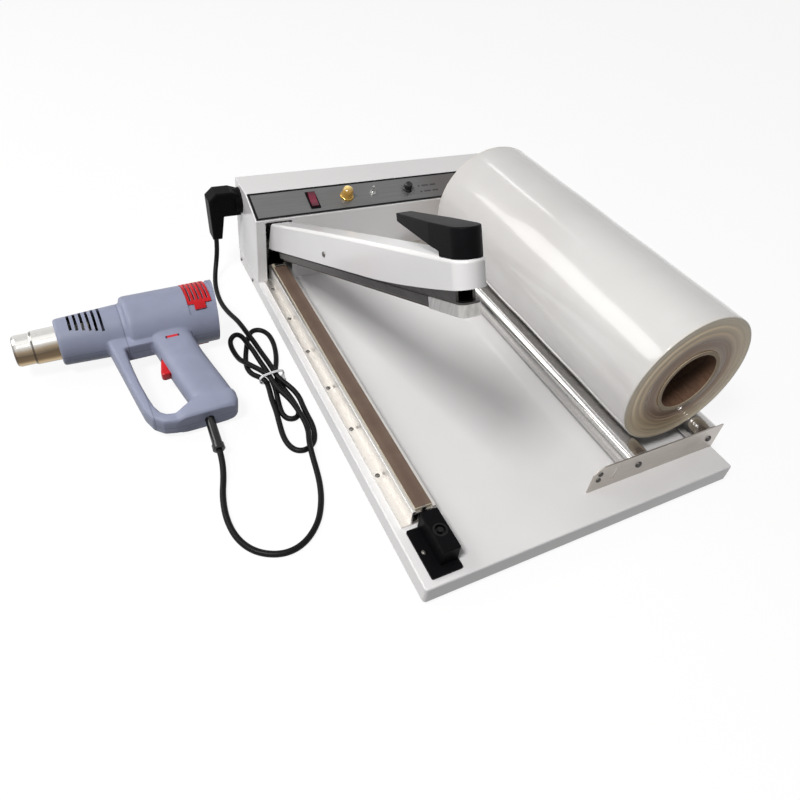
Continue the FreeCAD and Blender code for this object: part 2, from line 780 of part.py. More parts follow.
def axle_screws():
    start, end = roller_ends()
    screws = []
    for x in (roller_x, roller_x + roller_pitch):
        screws.append(pan_screw(V(x, start - bracket_sheet, roller_z), Y_AXIS * -1, 2.5, 10, 4.6, 2.6))
        screws.append(pan_screw(V(x, end + bracket_sheet, roller_z), Y_AXIS, 2.5, 10, 4.6, 2.6))
    for z in (19, 29):
        seat = V(bracket_left + 10, bracket_front, tray_height + z)
        screws.append(pan_screw(seat, Y_AXIS * -1, 1.9, 6, 3.4, 2.0))
    return screws


def roller(x):
    start, end = roller_ends()
    skin = tube(V(x, start + 1.5, roller_z), Y_AXIS, roller_radius, roller_radius - roller_wall,
                end - start - 3)
    return rounded(skin, 0.5, lambda e: abs(e.Length - 2 * math.pi * roller_radius) < 0.01)


def roller_bushes(x):
    start, end = roller_ends()
    bushes = []
    for y, inward in ((start + 1.5, 1), (end - 1.5, -1)):
        bush = turned([(-1, axle_radius + running_gap), (-1, 9), (0, roller_radius - roller_wall),
                       (bush_depth, roller_radius - roller_wall), (bush_depth, roller_radius - 4),
                       (2.5, roller_radius - 4), (2.5, 8.0), (bush_depth, 8.0),
                       (bush_depth, axle_radius + running_gap)], V(x, y, roller_z), Y_AXIS * inward)
        bushes.append(bush)
    return bushes


def film_roll():
    outer = core_bore + core_wall
    film = turned([(0, outer), (0, film_radius - 0.6), (0.6, film_radius), (film_width - 0.6, film_radius),
                   (film_width, film_radius - 0.6), (film_width, outer)],
                  V(film_x, film_start, film_z), Y_AXIS)
    return film


def film_core():
    return tube(V(film_x, film_start, film_z), Y_AXIS, core_bore + core_wall, core_bore, film_width)


# Sealing arm, pressed down: run is the distance forwards of the pivot, height above it
def arm_point(run, height):
    return pivot_y - run, pivot_z + height


def arm_block(run0, run1, low, high, width):
    return box(arm_centre - width / 2, arm_centre + width / 2, pivot_y - run1, pivot_y - run0,
               pivot_z + low, pivot_z + high)


def arm_profile(inset):
    # side outline of the cover; its underside is straight and then curves up to the nose
    rear, slope = cover_rear_run, cover_rear_slope
    lower = cover_bottom if inset == 0 else cover_bottom - 2
    rise = cover_nose_bottom - cover_bottom
    nose = cover_nose_run - inset * 1.5
    start = Part.Vertex(V(0, *arm_point(rear - inset, lower))).Point
    bend = V(0, *arm_point(cover_curve_run, lower))
    bow = V(0, *arm_point(cover_curve_run + 95, lower + rise * 0.42))
    tip_low = V(0, *arm_point(nose, lower + rise))
    tip_high = V(0, *arm_point(nose, cover_top_front - inset))
    back_high = V(0, *arm_point(rear + slope - inset, cover_top_rear - inset))
    crown = V(0, *arm_point((rear + slope + nose) / 2, cover_top_rear - 1.1 - inset))
    edges = [Part.LineSegment(start, bend), Part.Arc(bend, bow, tip_low), Part.LineSegment(tip_low, tip_high),
             Part.Arc(tip_high, crown, back_high), Part.LineSegment(back_high, start)]
    return Part.Wire([edge.toShape() for edge in edges])


def nose_plan(width, nose_run, centre_run, rear_run):
    # plan of the arm: parallel sides and a half-round nose
    half = width / 2
    left, right = arm_centre - half, arm_centre + half
    low = pivot_z - 60
    back = pivot_y - rear_run
    turn = pivot_y - centre_run
    edges = [Part.LineSegment(V(left, back, low), V(left, turn, low)),
             Part.Arc(V(left, turn, low), V(arm_centre, pivot_y - nose_run, low), V(right, turn, low)),
             Part.LineSegment(V(right, turn, low), V(right, back, low)),
             Part.LineSegment(V(right, back, low), V(left, back, low))]
    return Part.Face(Part.Wire([edge.toShape() for edge in edges])).extrude(V(0, 0, 150))


def arm_cover():
    half = cover_width / 2
    side = Part.Face(arm_profile(0))
    side.translate(V(arm_centre - half, 0, 0))
    body = side.extrude(V(cover_width, 0, 0))
    body = body.common(nose_plan(cover_width, cover_nose_run, nose_centre_run, -5))
    top = pivot_z + cover_top_front - 1.5
    body = rounded(body, 3.2, lambda e: middle(e).z > top and not runs_along(e, X_AXIS))
    hollow = Part.Face(arm_profile(cover_wall))
    hollow.translate(V(arm_centre - half + cover_wall, 0, 0))
    hollow = hollow.extrude(V(cover_width - 2 * cover_wall, 0, 0))
    hollow = hollow.common(nose_plan(cover_width - 2 * cover_wall, cover_nose_run - 2 * cover_wall,
                                     nose_centre_run - cover_wall, -5))
    body = body.cut(hollow)
    for side_x in side_walls():
        body = body.cut(rod(V(side_x[0] - side_x[1] * 1, *arm_point(side_screw_run, side_screw_height)),
                            X_AXIS * side_x[1], 1.9 + hole_gap, cover_wall + 2))
    for x, y in handle_screws():
        body = body.cut(rod(V(x, y, pivot_z), Z_AXIS, 1.5 + hole_gap, 40))
    return body


def side_walls():
    return ((arm_centre - cover_width / 2, 1), (arm_centre + cover_width / 2, -1))


def handle_screws():
    y, _ = arm_point(handle_step_run + 8, 0)
    return (arm_centre - 3.4, y), (arm_centre + 3.4, y)


def arm_channel():
    channel = arm_block(-channel_tail, channel_front_run, channel_bottom, channel_bottom + channel_height,
                        channel_width)
    channel = rounded(channel, 2.0, lambda e: runs_along(e, Y_AXIS) and middle(e).z > pivot_z)
    hollow = arm_block(-channel_tail - 1, channel_front_run + 1, channel_bottom - 1,
                       channel_bottom + channel_height - channel_sheet, channel_width - 2 * channel_sheet)
    channel = channel.cut(hollow)
    left = arm_centre - channel_width / 2
    channel = channel.cut(rod(V(left - 1, pivot_y, pivot_z), X_AXIS, bush_outer, channel_width + 2))
    y, z = arm_point(-spring_pin_run, spring_pin_height)
    channel = channel.cut(rod(V(left - 1, y, z), X_AXIS, 2.0, channel_width + 2))
    y, z = arm_point(side_screw_run, side_screw_height)
    channel = channel.cut(rod(V(left - 1, y, z), X_AXIS, 1.9, channel_width + 2))
    for x, y in handle_screws():
        channel = channel.cut(rod(V(x, y, pivot_z), Z_AXIS, 1.5 + hole_gap, 40))
    return channel


bush_outer = 7.0
spring_pin_run = 30.0
spring_pin_height = -4.0


def pivot_bushes():
    bushes = []
    for side in (-1, 1):
        wall = arm_centre + side * channel_width / 2
        bush = turned([(-channel_sheet, pivot_radius + running_gap), (-channel_sheet, bush_outer),
                       (0, bush_outer), (0, bush_outer + 2), (1.5, bush_outer + 2),
                       (1.5, pivot_radius + running_gap)], V(wall, pivot_y, pivot_z), X_AXIS * side)
        bushes.append(bush)
    return bushes


def arm_thin_plate():
    plate = arm_block(bar_rear_run, thin_plate_run, channel_bottom - thin_plate_sheet, channel_bottom,
                      channel_width)
    return rounded(plate, 5.0, lambda e: runs_along(e, Z_AXIS) and middle(e).y < pivot_y - 200)


def pressure_bar():
    low = channel_bottom - thin_plate_sheet - bar_height
    bar = arm_block(bar_rear_run, armature_rear_run, low, channel_bottom - thin_plate_sheet, bar_width)
    bar = rounded(bar, 2.0, lambda e: runs_along(e, Y_AXIS) and middle(e).z < pivot_z + low + 1)
    groove = arm_block(bar_rear_run - 1, armature_rear_run + 1, low - 1, low + 2, silicone_width)
    return bar.cut(groove)


def silicone_strip():
    low = channel_bottom - thin_plate_sheet - bar_height
    return arm_block(bar_rear_run + 2, armature_rear_run - 1, low - silicone_thickness + 0.0, low + 2,
                     silicone_width)


def armature_plate():
    low = channel_bottom - thin_plate_sheet - bar_height - silicone_thickness + 0.6
    plate = arm_block(armature_rear_run + 1, armature_run + 4, low, channel_bottom - thin_plate_sheet,
                      bar_width)
    plate = rounded(plate, 7.0, lambda e: runs_along(e, Z_AXIS) and middle(e).y < pivot_y - armature_run)
    return rounded(plate, 1.2, lambda e: abs(middle(e).z - pivot_z - low) < 0.01)


def arm_handle():
    nose = nose_centre_run + cover_width / 2 - handle_inset
    half = cover_width / 2 - handle_inset
    seat = cover_top_at(handle_step_run)
    front_seat = cover_top_at(nose)
    corners = [(handle_rear_run, handle_rear_bottom), (handle_rear_run, handle_rear_top),
               (handle_step_run - 20, handle_front_top + 3.4), (nose + 1, handle_front_top),
               (nose + 1, front_seat), (handle_step_run, seat), (handle_step_run, seat + handle_step_height)]
    side = prism([arm_point(run, height) for run, height in corners], "yz",
                 arm_centre - half, arm_centre + half)
    rear_half = handle_rear_width / 2
    turn = pivot_y - nose_centre_run
    shoulder = pivot_y - handle_step_run + 14
    back = pivot_y - handle_rear_run
    low = pivot_z - 20
    left, right = arm_centre - half, arm_centre + half
    edges = [Part.LineSegment(V(left, shoulder, low), V(left, turn, low)),
             Part.Arc(V(left, turn, low), V(arm_centre, pivot_y - nose, low), V(right, turn, low)),
             Part.LineSegment(V(right, turn, low), V(right, shoulder, low)),
             Part.LineSegment(V(right, shoulder, low), V(arm_centre + rear_half, back, low)),
             Part.LineSegment(V(arm_centre + rear_half, back, low), V(arm_centre - rear_half, back, low)),
             Part.LineSegment(V(arm_centre - rear_half, back, low), V(left, shoulder, low))]
    plan = Part.Face(Part.Wire([edge.toShape() for edge in edges])).extrude(V(0, 0, 120))
    body = side.common(plan)
    top = pivot_z + handle_front_top - 1
    body = rounded(body, 1.5, lambda e: middle(e).z > top and not runs_along(e, X_AXIS))
    cut_away = Part.Face(arm_profile(0))
    cut_away.translate(V(arm_centre - 40, 0, 0))
    body = body.cut(cut_away.extrude(V(80, 0, 0)))
    for x, y in handle_screws():
        body = body.cut(rod(V(x, y, pivot_z + seat - 3), Z_AXIS, 1.5, 12))
    return body


def cover_top_at(run):
    # height of the cover's top over the pivot, on the arc through its rear, crown and nose
    rear = cover_rear_run + cover_rear_slope
    span = cover_nose_run - rear
    t = (run - rear) / span
    chord = cover_top_rear + (cover_top_front - cover_top_rear) * t
    bow = cover_top_rear - 1.1 - (cover_top_rear + cover_top_front) / 2
    return chord + 4 * bow * t * (1 - t)


def arm_screws():
    screws = []
    for wall, inward in side_walls():
        seat = V(wall, *arm_point(side_screw_run, side_screw_height))
        screws.append(pan_screw(seat, X_AXIS * -inward, 1.9, 8, 3.4, 1.8))
    for x, y in handle_screws():
        seat = V(x, y, pivot_z + channel_bottom + channel_height - channel_sheet)
        screws.append(pan_screw(seat, Z_AXIS * -1, 1.5, 20, 2.9, 1.8))
    y, z = arm_point(-spring_pin_run, spring_pin_height)
    screws.append(rod(V(arm_centre - channel_width / 2, y, z), X_AXIS, 2.0, channel_width))
    return screws


# Pivot bracket and shaft inside the box, and the spring that raises the arm
def bracket_ears():
    reach = channel_width / 2 + 1.5 + 1.0
    return arm_centre - reach, arm_centre + reach


def pivot_bracket():
    left, right = bracket_ears()
    sheet = 3.0
    y0, y1 = pivot_y - 14, pivot_y + 40
    body = box(left - sheet, right + sheet, y0, y1, tray_height, tray_height + sheet)
    for x in (left - sheet, right):
        ear = prism([(y0, tray_height), (y1, tray_height), (pivot_y + 14, pivot_z + 8),
                     (pivot_y + 8, pivot_z + 14), (pivot_y - 8, pivot_z + 14), (y0, pivot_z + 8)],
                    "yz", x, x + sheet)
        body = body.fuse(ear)
    shaft = rod(V(left - sheet - 1, pivot_y, pivot_z), X_AXIS, pivot_radius, right - left + 2 * sheet + 2)
    body = body.cut(shaft)
    return body.fuse(spring_anchor())


def spring_line():
    # the spring hangs straight below the arm's spring pin with the arm raised
    angle = math.radians(arm_open)
    y = pivot_y + spring_pin_run * math.cos(angle) + spring_pin_height * math.sin(angle)
    z = pivot_z - spring_pin_run * math.sin(angle) + spring_pin_height * math.cos(angle)
    return y, z


def spring_anchor():
    y, _ = spring_line()
    return rod(V(arm_centre, y, tray_height + 2.9), Z_AXIS, 2.2, 2.1)


def pivot_shaft():
    left, right = bracket_ears()
    shaft = rod(V(left - 6, pivot_y, pivot_z), X_AXIS, pivot_radius, right - left + 12)
    for x in (left - 5, right + 4):
        shaft = shaft.cut(tube(V(x, pivot_y, pivot_z), X_AXIS, pivot_radius + 1, pivot_radius - 0.6, 1.0))
    return shaft


def return_spring():
    y, pin_z = spring_line()
    low = tray_height + 5.0
    high = pin_z - 2.0 - 0.3
    wire, mean = 0.6, 2.9
    coil_low, coil_high = low + 4, high - 4
    turns = 5
    helix = Part.makeHelix((coil_high - coil_low) / turns, coil_high - coil_low, mean)
    section = Part.Wire([Part.Circle(V(mean, 0, 0), Y_AXIS, wire).toShape()])
    coil = Part.Wire(helix.Edges).makePipeShell([section], True, False)
    coil.translate(V(arm_centre, y, coil_low))
    for z in (low, high - 1.2):
        coil = coil.fuse(tube(V(arm_centre, y, z), Z_AXIS, mean + wire, 1.0, 1.2))
    for z in (low + 0.6, coil_high - 0.6):
        coil = coil.fuse(rod(V(arm_centre + mean, y, z), Z_AXIS, wire * 0.9, 4.0))
    return coil


# Hot-air gun
def gun_point(x, y, z=0.0):
    return gun_place + gun_rotation().multVec(V(x, y, z))


def gun_barrel(inset):
    r0, r1, r2 = gun_front_radius - inset, gun_step_radius - inset, gun_body_radius - inset
    front, step, rear = gun_front + inset, gun_step, gun_rear - inset
    barrel = turned([(front, 0), (front, r0 - 3), (front + 0.9, r0 - 0.9), (front + 3, r0),
                     (step - 4 + inset, r1), (step - 1.5 + inset, r1 + 1.5), (step + 0.5 + inset, r2 - 3),
                     (step + 4 + inset, r2), (rear, r2), (rear, 0)], V(0, 0, 0), X_AXIS)
    barrel = barrel.cut(behind_gun_rear(inset))
    if inset > 0:
        return barrel
    return rounded(barrel, 4.0, lambda e: middle(e).x > gun_rear - gun_rear_slant
                   and e.Length > 200 and not runs_along(e, X_AXIS))


def behind_gun_rear(inset):
    # everything behind the gun's rear face, which leans forwards towards the grip
    top, low = gun_rear - inset, gun_rear - gun_rear_slant - inset
    lean = gun_rear_slant / (2 * gun_body_radius)
    reach = 30.0
    return prism([(top + lean * reach, gun_body_radius + reach), (top + 60, gun_body_radius + reach),
                  (top + 60, -gun_body_radius - reach), (low - lean * reach, -gun_body_radius - reach)],
                 "xy", -60, 60)


def grip_outline(inset):
    # handle seen from the side: front edge, butt and rear edge
    return [(-84 + inset, -24), (-80 + inset, -62), (-77 + inset, -105), (-68 + inset, -158),
            (-72 + inset, grip_bottom + inset), (-26 - inset, grip_bottom + inset),
            (-18 - inset, grip_bottom + 9 + inset * 0.4), (-15.5 - inset, -120), (-25 - inset, -24)]


def gun_grip(inset):
    half = grip_half - inset
    grip = prism(grip_outline(inset), "xy", -half, half)
    if inset > 0:
        return grip
    return rounded(grip, 7.0, lambda e: not runs_along(e, Z_AXIS) and middle(e).y < -30
                   and middle(e).y > grip_bottom + 1)


def gun_guard(inset):
    half = guard_half - inset
    outer = [(-132 + inset, -20), (-129 + inset, -60), (-118 + inset, -150), (-112 + inset, -162),
             (-103 + inset, -171 + inset), (-92, grip_bottom + inset), (-60, grip_bottom + inset),
             (-60, -140), (-78, -60), (-78, -20)]
    hole = [(-114 - inset, -44), (-111 - inset, -108), (-105 - inset, -146), (-99 - inset, -157 - inset),
            (-90, -161 - inset), (-60, -160 - inset), (-66, -140), (-76, -60), (-80, -44)]
    body = prism(outer, "xy", -half, half).cut(prism(hole, "xy", -half, half))
    if inset > 0:
        return body
    return rounded(body, 4.5, lambda e: not runs_along(e, Z_AXIS) and middle(e).x < -86
                   and middle(e).y < -44 and middle(e).x > -131)


def gun_slots():
    # two rows of air slots around the front of the barrel
    slots = []
    for k in range(gun_slot_count):
        x = -167.0 + k * gun_slot_pitch
        for start in (45, 247):
            ring = turned([(x - 1.5, 20), (x - 1.5, 50), (x + 1.5, 50), (x + 1.5, 20)],
                          V(0, 0, 0), X_AXIS, 68)
            ring.rotate(V(0, 0, 0), X_AXIS, start)
            slots.append(ring)
    return slots


def gun_shutter_ring(x0, x1, low, high, half_angle):
    ring = turned([(x0, low), (x0, high), (x1, high), (x1, low)], V(0, 0, 0), X_AXIS, 2 * half_angle)
    ring.rotate(V(0, 0, 0), X_AXIS, -half_angle)
    return ring


def gun_body():
    body = gun_barrel(0).fuse(gun_grip(0)).fuse(gun_guard(0))
    body = body.cut(gun_barrel(gun_wall))
    body = body.cut(gun_grip(gun_wall))
    body = body.cut(rod(V(gun_front - 1, 0, 0), X_AXIS, nozzle_root_radius, gun_wall + 3))
    for slot in gun_slots():
        body = body.cut(slot)
    seat = gun_body_radius - shutter_sheet + shutter_proud
    body = body.cut(gun_shutter_ring(shutter_front - touch_gap, gun_rear + 1, seat - touch_gap, 60,
                                     shutter_half_angle + 15))
    for k in range(3):
        x = shutter_front + 7 + 9 * k
        for start in (60, 120, 240, 300):
            slot = turned([(x, 30), (x, 50), (x + 3, 50), (x + 3, 30)], V(0, 0, 0), X_AXIS, 24)
            slot.rotate(V(0, 0, 0), X_AXIS, start - 12)
            body = body.cut(slot)
    body = body.cut(box(-92, -72, trigger_low, trigger_high, -trigger_half - 0.3, trigger_half + 0.3))
    body = body.cut(rod(V(relief_x, grip_bottom - 1, 0), Y_AXIS, relief_radius - 1 + 0.2, gun_wall + 3))
    return body


trigger_low = -104.0
trigger_high = -62.0
trigger_half = 6.0
relief_x = -51.0


def gun_shell(side):
    half = box(-400, 200, -400, 200, 0, 200) if side > 0 else box(-400, 200, -400, 200, -200, 0)
    shell = gun_body().common(half)
    if side < 0:
        for x, y in gun_screw_places():
            shell = shell.cut(rod(V(x, y, -60), Z_AXIS, 3.4, 60 - grip_half + 2.5))
            shell = shell.cut(rod(V(x, y, -60), Z_AXIS, 1.6, 60))
    return on_floor(shell)


def gun_screw_places():
    return ((-123, -90), (-101, -165.5), (-40, -166), (-122, -56))


def gun_screws():
    screws = []
    for x, y in gun_screw_places():
        seat = V(x, y, -grip_half + 2.5)
        deep = 11.9
        screws.append(on_floor(rod(seat, Z_AXIS, 1.5, deep).fuse(rod(seat, Z_AXIS * -1, 3.1, 1.8))))
    return screws


def gun_nozzle():
    r0, r1 = nozzle_root_radius, nozzle_tip_radius
    tip = gun_front - nozzle_length
    w = nozzle_wall
    skin = turned([(gun_front + 20, r0 - w), (gun_front + 20, r0), (gun_front, r0),
                   (gun_front - 26, r0 - 0.6), (gun_front - 29, r1), (tip + 4, r1), (tip + 1, r1 - 1.2),
                   (tip, r1 - 3), (tip, r1 - 3 - w), (tip + 2.2, r1 - 3 - w), (tip + 4, r1 - w),
                   (gun_front - 29, r1 - w), (gun_front - 26, r0 - 0.6 - w), (gun_front, r0 - w)],
                  V(0, 0, 0), X_AXIS)
    return on_floor(skin)


def gun_heater():
    start = gun_front - 22
    core = rod(V(start, 0, 0), X_AXIS, nozzle_root_radius - nozzle_wall - 2.6, 60)
    for k in range(6):
        angle = math.radians(60 * k)
        core = core.cut(rod(V(start - 1, 10.5 * math.cos(angle), 10.5 * math.sin(angle)), X_AXIS, 3.6, 63))
    core = core.cut(rod(V(start - 1, 0, 0), X_AXIS, 3.6, 63))
    ring = tube(V(start + 34, 0, 0), X_AXIS, nozzle_root_radius - nozzle_wall,
                nozzle_root_radius - nozzle_wall - 2.8, 6)
    return on_floor(core.fuse(ring))


def gun_motor():
    can = rod(V(-62, 0, 0), X_AXIS, 17.5, 44)
    plate = tube(V(-52, 0, 0), X_AXIS, gun_body_radius - gun_wall, 17, 3)
    for k in range(5):
        angle = math.radians(72 * k)
        plate = plate.cut(rod(V(-53, 27 * math.cos(angle), 27 * math.sin(angle)), X_AXIS, 6.5, 6))
    shaft = rod(V(-80, 0, 0), X_AXIS, 1.5, 20)
    return on_floor(can.fuse(plate).fuse(shaft))


def gun_impeller():
    hub = tube(V(-79, 0, 0), X_AXIS, 6, 1.5 + running_gap, 14)
    disc = tube(V(-66.5, 0, 0), X_AXIS, 30, 4, 1.5)
    wheel = hub.fuse(disc)
    for k in range(9):
        blade = box(-79, -66, 5, 29, -0.7, 0.7)
        blade.rotate(V(0, 0, 0), X_AXIS, 40 * k)
        wheel = wheel.fuse(blade)
    return on_floor(wheel)


def gun_air_shutter():
    low = gun_body_radius - shutter_sheet + shutter_proud
    high = low + shutter_sheet
    ring = gun_shutter_ring(shutter_front, gun_rear, low, high, shutter_half_angle)
    ring = ring.cut(behind_gun_rear(1.0))
    for k in range(3):
        x = shutter_front + 6 + 9 * k
        for start in (62, 96, 264, 298):
            slot = turned([(x, 30), (x, 50), (x + 4, 50), (x + 4, 30)], V(0, 0, 0), X_AXIS, 26)
            slot.rotate(V(0, 0, 0), X_AXIS, start - 13)
            ring = ring.cut(slot)
    for sign in (-1, 1):
        tab = turned([(-14, low), (-14, high + 1.2), (1, high + 1.2), (1, low)], V(0, 0, 0), X_AXIS, 13)
        tab.rotate(V(0, 0, 0), X_AXIS, sign * (shutter_half_angle + 6.4) - 6.5)
        ring = ring.fuse(tab)
    return on_floor(ring)


def gun_trigger():
    shape = [(-90, trigger_low + 4), (-84, trigger_high - 1), (-73, trigger_high - 1),
             (-73, trigger_high + 1.5), (-70, trigger_high + 1.5), (-70, trigger_high - 8),
             (-62, trigger_high - 8), (-62, trigger_low + 8), (-70, trigger_low + 8),
             (-70, trigger_low - 1.5), (-73, trigger_low - 1.5), (-73, trigger_low + 1),
             (-87, trigger_low + 1)]
    body = prism(shape, "xy", -trigger_half, trigger_half)
    body = rounded(body, 2.0, lambda e: not runs_along(e, Z_AXIS) and middle(e).x < -80
                   and abs(middle(e).y + 83) < 19.5)
    return on_floor(body)


def gun_strain_relief():
    root = grip_bottom
    flange = relief_radius + 1.5
    profile = [(-gun_wall - 2, 0), (-gun_wall - 2, flange), (-gun_wall - 0.2, flange),
               (-gun_wall - 0.2, relief_radius - 1), (0, relief_radius - 1), (0, relief_radius + 1),
               (3, relief_radius), (relief_length - 9, relief_radius + 0.4),
               (relief_length - 8, relief_radius + 1.6), (relief_length - 1.5, relief_radius + 1.6),
               (relief_length, relief_radius), (relief_length, 0)]
    body = turned(profile, V(relief_x, root, 0), Y_AXIS * -1)
    return on_floor(body)


# Cord: straight runs joined by arcs that touch them
def cord_tube(points):
    edges = []
    arcs = []
    start = points[0]
    for before, corner, after in zip(points, points[1:], points[2:]):
        into = (corner - before).normalize()
        out = (after - corner).normalize()
        turn = into.getAngle(out)
        reach = 0.45 * min((corner - before).Length, (after - corner).Length)
        arcs.append((reach / math.tan(turn / 2), math.degrees(turn)))
        first = corner - into * reach
        last = corner + out * reach
        swing = (out - into).normalize()
        radius = arcs[-1][0]
        middle_point = corner + swing * (radius / math.cos(turn / 2) - radius)
        edges.append(Part.LineSegment(start, first).toShape())
        edges.append(Part.Arc(first, middle_point, last).toShape())
        start = last
    edges.append(Part.LineSegment(start, points[-1]).toShape())
    path = Part.Wire(edges)
    along = (points[1] - points[0]).normalize()
    section = Part.Wire([Part.Circle(points[0], along, cord_radius).toShape()])
    body = path.makePipeShell([section], True, False)
    expected = math.pi * cord_radius ** 2 * path.Length
    ratio = body.Volume / expected
    radii = " ".join("%.0f" % radius for radius, _ in arcs)
    turns = " ".join("%.0f" % turn for _, turn in arcs)
    print("cord", len(points), "points, length %.0f" % path.Length, "volume ratio %.4f" % ratio)
    print("radii", radii, "turns", turns)
    return body


# The cord's level on the floor, in the tray's coordinates
floor_level = cord_radius - foot_height


def hank_entry():
    return V(-47.0, gun_place.y - 5, 3.0)


def hank_exit():
    return V(-35.5, gun_place.y - 257, 2.0)


def beside_gun(places):
    # places of the cord on the floor, their second number measured along the tray from the gun's axis
    return [V(x, gun_place.y + along, z) for x, along, z in places]


def cord_from_plug():
    start = cord_plug_exit()
    down = beside_gun([(-41, 144, 27), (-47, 132, 9), (-53, 112, 0.5), (-57, 87, floor_level),
                       (-58, 61, floor_level), (-54, 36, 0)])
    return [start, start + V(0, 0, -17), *down, hank_entry() + V(0, 18, 0), hank_entry()]


def cord_to_gun():
    gun_end = gun_point(relief_x, grip_bottom - relief_length)
    away = gun_point(relief_x, grip_bottom - relief_length - 14)
    loop = beside_gun([(-37, -292, -1.5), (-42, -314, floor_level), (-50, -337, floor_level),
                       (-64, -358, floor_level), (-84, -372, floor_level), (-107, -376, floor_level),
                       (-128, -366, floor_level), (-141, -345, floor_level), (-146, -319, floor_level),
                       (-145, -292, floor_level), (-139, -266, -1.0)])
    return [hank_exit(), hank_exit() - V(0, 16, 0), *loop, away, gun_end]


def cord_hank():
    # outer shape of the tied hank: two lobes with a waist at the tie, lying along the tray
    wires = []
    for x, y, half, low, high in hank_stations:
        low -= foot_height
        rise = high - low
        corners = [(-half, low + rise * 0.3), (-half + 3, low), (half - 3, low), (half, low + rise * 0.3),
                   (half, low + rise * 0.55), (half * 0.6, high), (-half * 0.6, high),
                   (-half, low + rise * 0.55)]
        ring = [V(x + dx, gun_place.y + y, z) for dx, z in corners]
        wires.append(Part.makePolygon(ring + ring[:1]))
    return Part.makeLoft(wires, True, True)


# The hank's stations: across, along from the gun's axis, half width, underside and top over the floor
hank_stations = [
    (-47, -5, 8, 0.2, 8.5), (-44, -19, 24, 0.1, 8.7), (-43.5, -42, 33, 0.1, 8.8),
    (-44, -70, 31, 0.1, 8.8), (-43, -94, 22, 0.1, 8.8), (-38, -113, 13, 0.9, 8.6),
    (-37, -127, 13, 0.9, 8.6), (-34, -142, 18, 0.1, 8.8), (-34.5, -170, 21.5, 0.1, 8.9),
    (-37, -212, 23, 0.1, 8.8), (-37, -237, 21, 0.1, 8.6), (-36, -257, 8, 0.2, 8.4)]


def hank_tie():
    across, along = -37.6, gun_place.y - 120
    body = box(across - 15, across + 15, along - 2, along + 2, -foot_height, 10.0)
    body = rounded(body, 3.0, lambda e: runs_along(e, Y_AXIS))
    return body.cut(cord_hank())


cord_pieces = ("power_plug", "cord_to_hank", "cord_hank", "hank_tie", "cord_to_gun")


def build():
    os.makedirs("parts", exist_ok=True)
    keep("base_tray", base_tray())
    keep("rubber_feet", *rubber_feet())
    keep("pan_screws", *pan_screws(), *foot_screws())
    keep("control_box_housing", control_box_housing())
    keep("control_panel", control_panel())
    keep("rocker_switch_body", rocker_switch_body())
    keep("rocker_button", rocker_button())
    keep("pilot_lamp_body", pilot_lamp_body())
    keep("pilot_lamp_lens", pilot_lamp_lens())
    keep("toggle_switch_body", toggle_switch_body())
    keep("toggle_lever", toggle_lever())
    keep("timer_potentiometer", timer_potentiometer())
    keep("timer_knob", timer_knob())
    keep("outlet_socket", outlet_socket())
    keep("power_plug", *power_plug())
    keep("transformer", *transformer())
    keep("timer_board", timer_board())
    keep("mains_gland", mains_gland())
    keep("seal_bed", seal_bed())
    keep("heater_insulator", heater_insulator())
    keep("heating_wire", heating_wire())
    keep("teflon_strip", teflon_strip())
    keep("wire_clamps", *wire_clamps())
    keep("magnet_block", magnet_block())
    keep("holding_magnet", holding_magnet())
    keep("roller_brackets", roller_bracket(True), roller_bracket(False))
    keep("roller_axles", *roller_axles())
    keep("axle_screws", *axle_screws())
    keep("left_roller", roller(roller_x))
    keep("left_roller_bushes", *roller_bushes(roller_x))
    keep("right_roller", roller(roller_x + roller_pitch))
    keep("right_roller_bushes", *roller_bushes(roller_x + roller_pitch))
    keep("film_roll", film_roll())
    keep("film_core", film_core())
    keep("arm_cover", raised(arm_cover()))
    keep("arm_channel", raised(arm_channel()))
    keep("arm_thin_plate", raised(arm_thin_plate()))
    keep("pressure_bar", raised(pressure_bar()))
    keep("silicone_strip", raised(silicone_strip()))
    keep("armature_plate", raised(armature_plate()))
    keep("arm_handle", raised(arm_handle()))
    keep("arm_screws", *[raised(screw) for screw in arm_screws()])
    keep("pivot_bushes", *[raised(bush) for bush in pivot_bushes()])
    keep("pivot_bracket", pivot_bracket())
    keep("pivot_shaft", pivot_shaft())
    keep("return_spring", return_spring())
    keep("gun_left_shell", gun_shell(1))
    keep("gun_right_shell", gun_shell(-1))
    keep("gun_screws", *gun_screws())
    keep("gun_nozzle", gun_nozzle())
    keep("gun_heater", gun_heater())
    keep("gun_motor", gun_motor())
    keep("gun_impeller", gun_impeller())
    keep("gun_air_shutter", gun_air_shutter())
    keep("gun_trigger", gun_trigger())
    keep("gun_strain_relief", gun_strain_relief())
    keep("cord_to_hank", cord_tube(cord_from_plug()))
    keep("cord_to_gun", cord_tube(cord_to_gun()))
    keep("cord_hank", cord_hank())
    keep("hank_tie", hank_tie())
    export_all()


build()
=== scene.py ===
import json
import math
import random

import bmesh
import bpy
from mathutils import Matrix, Vector

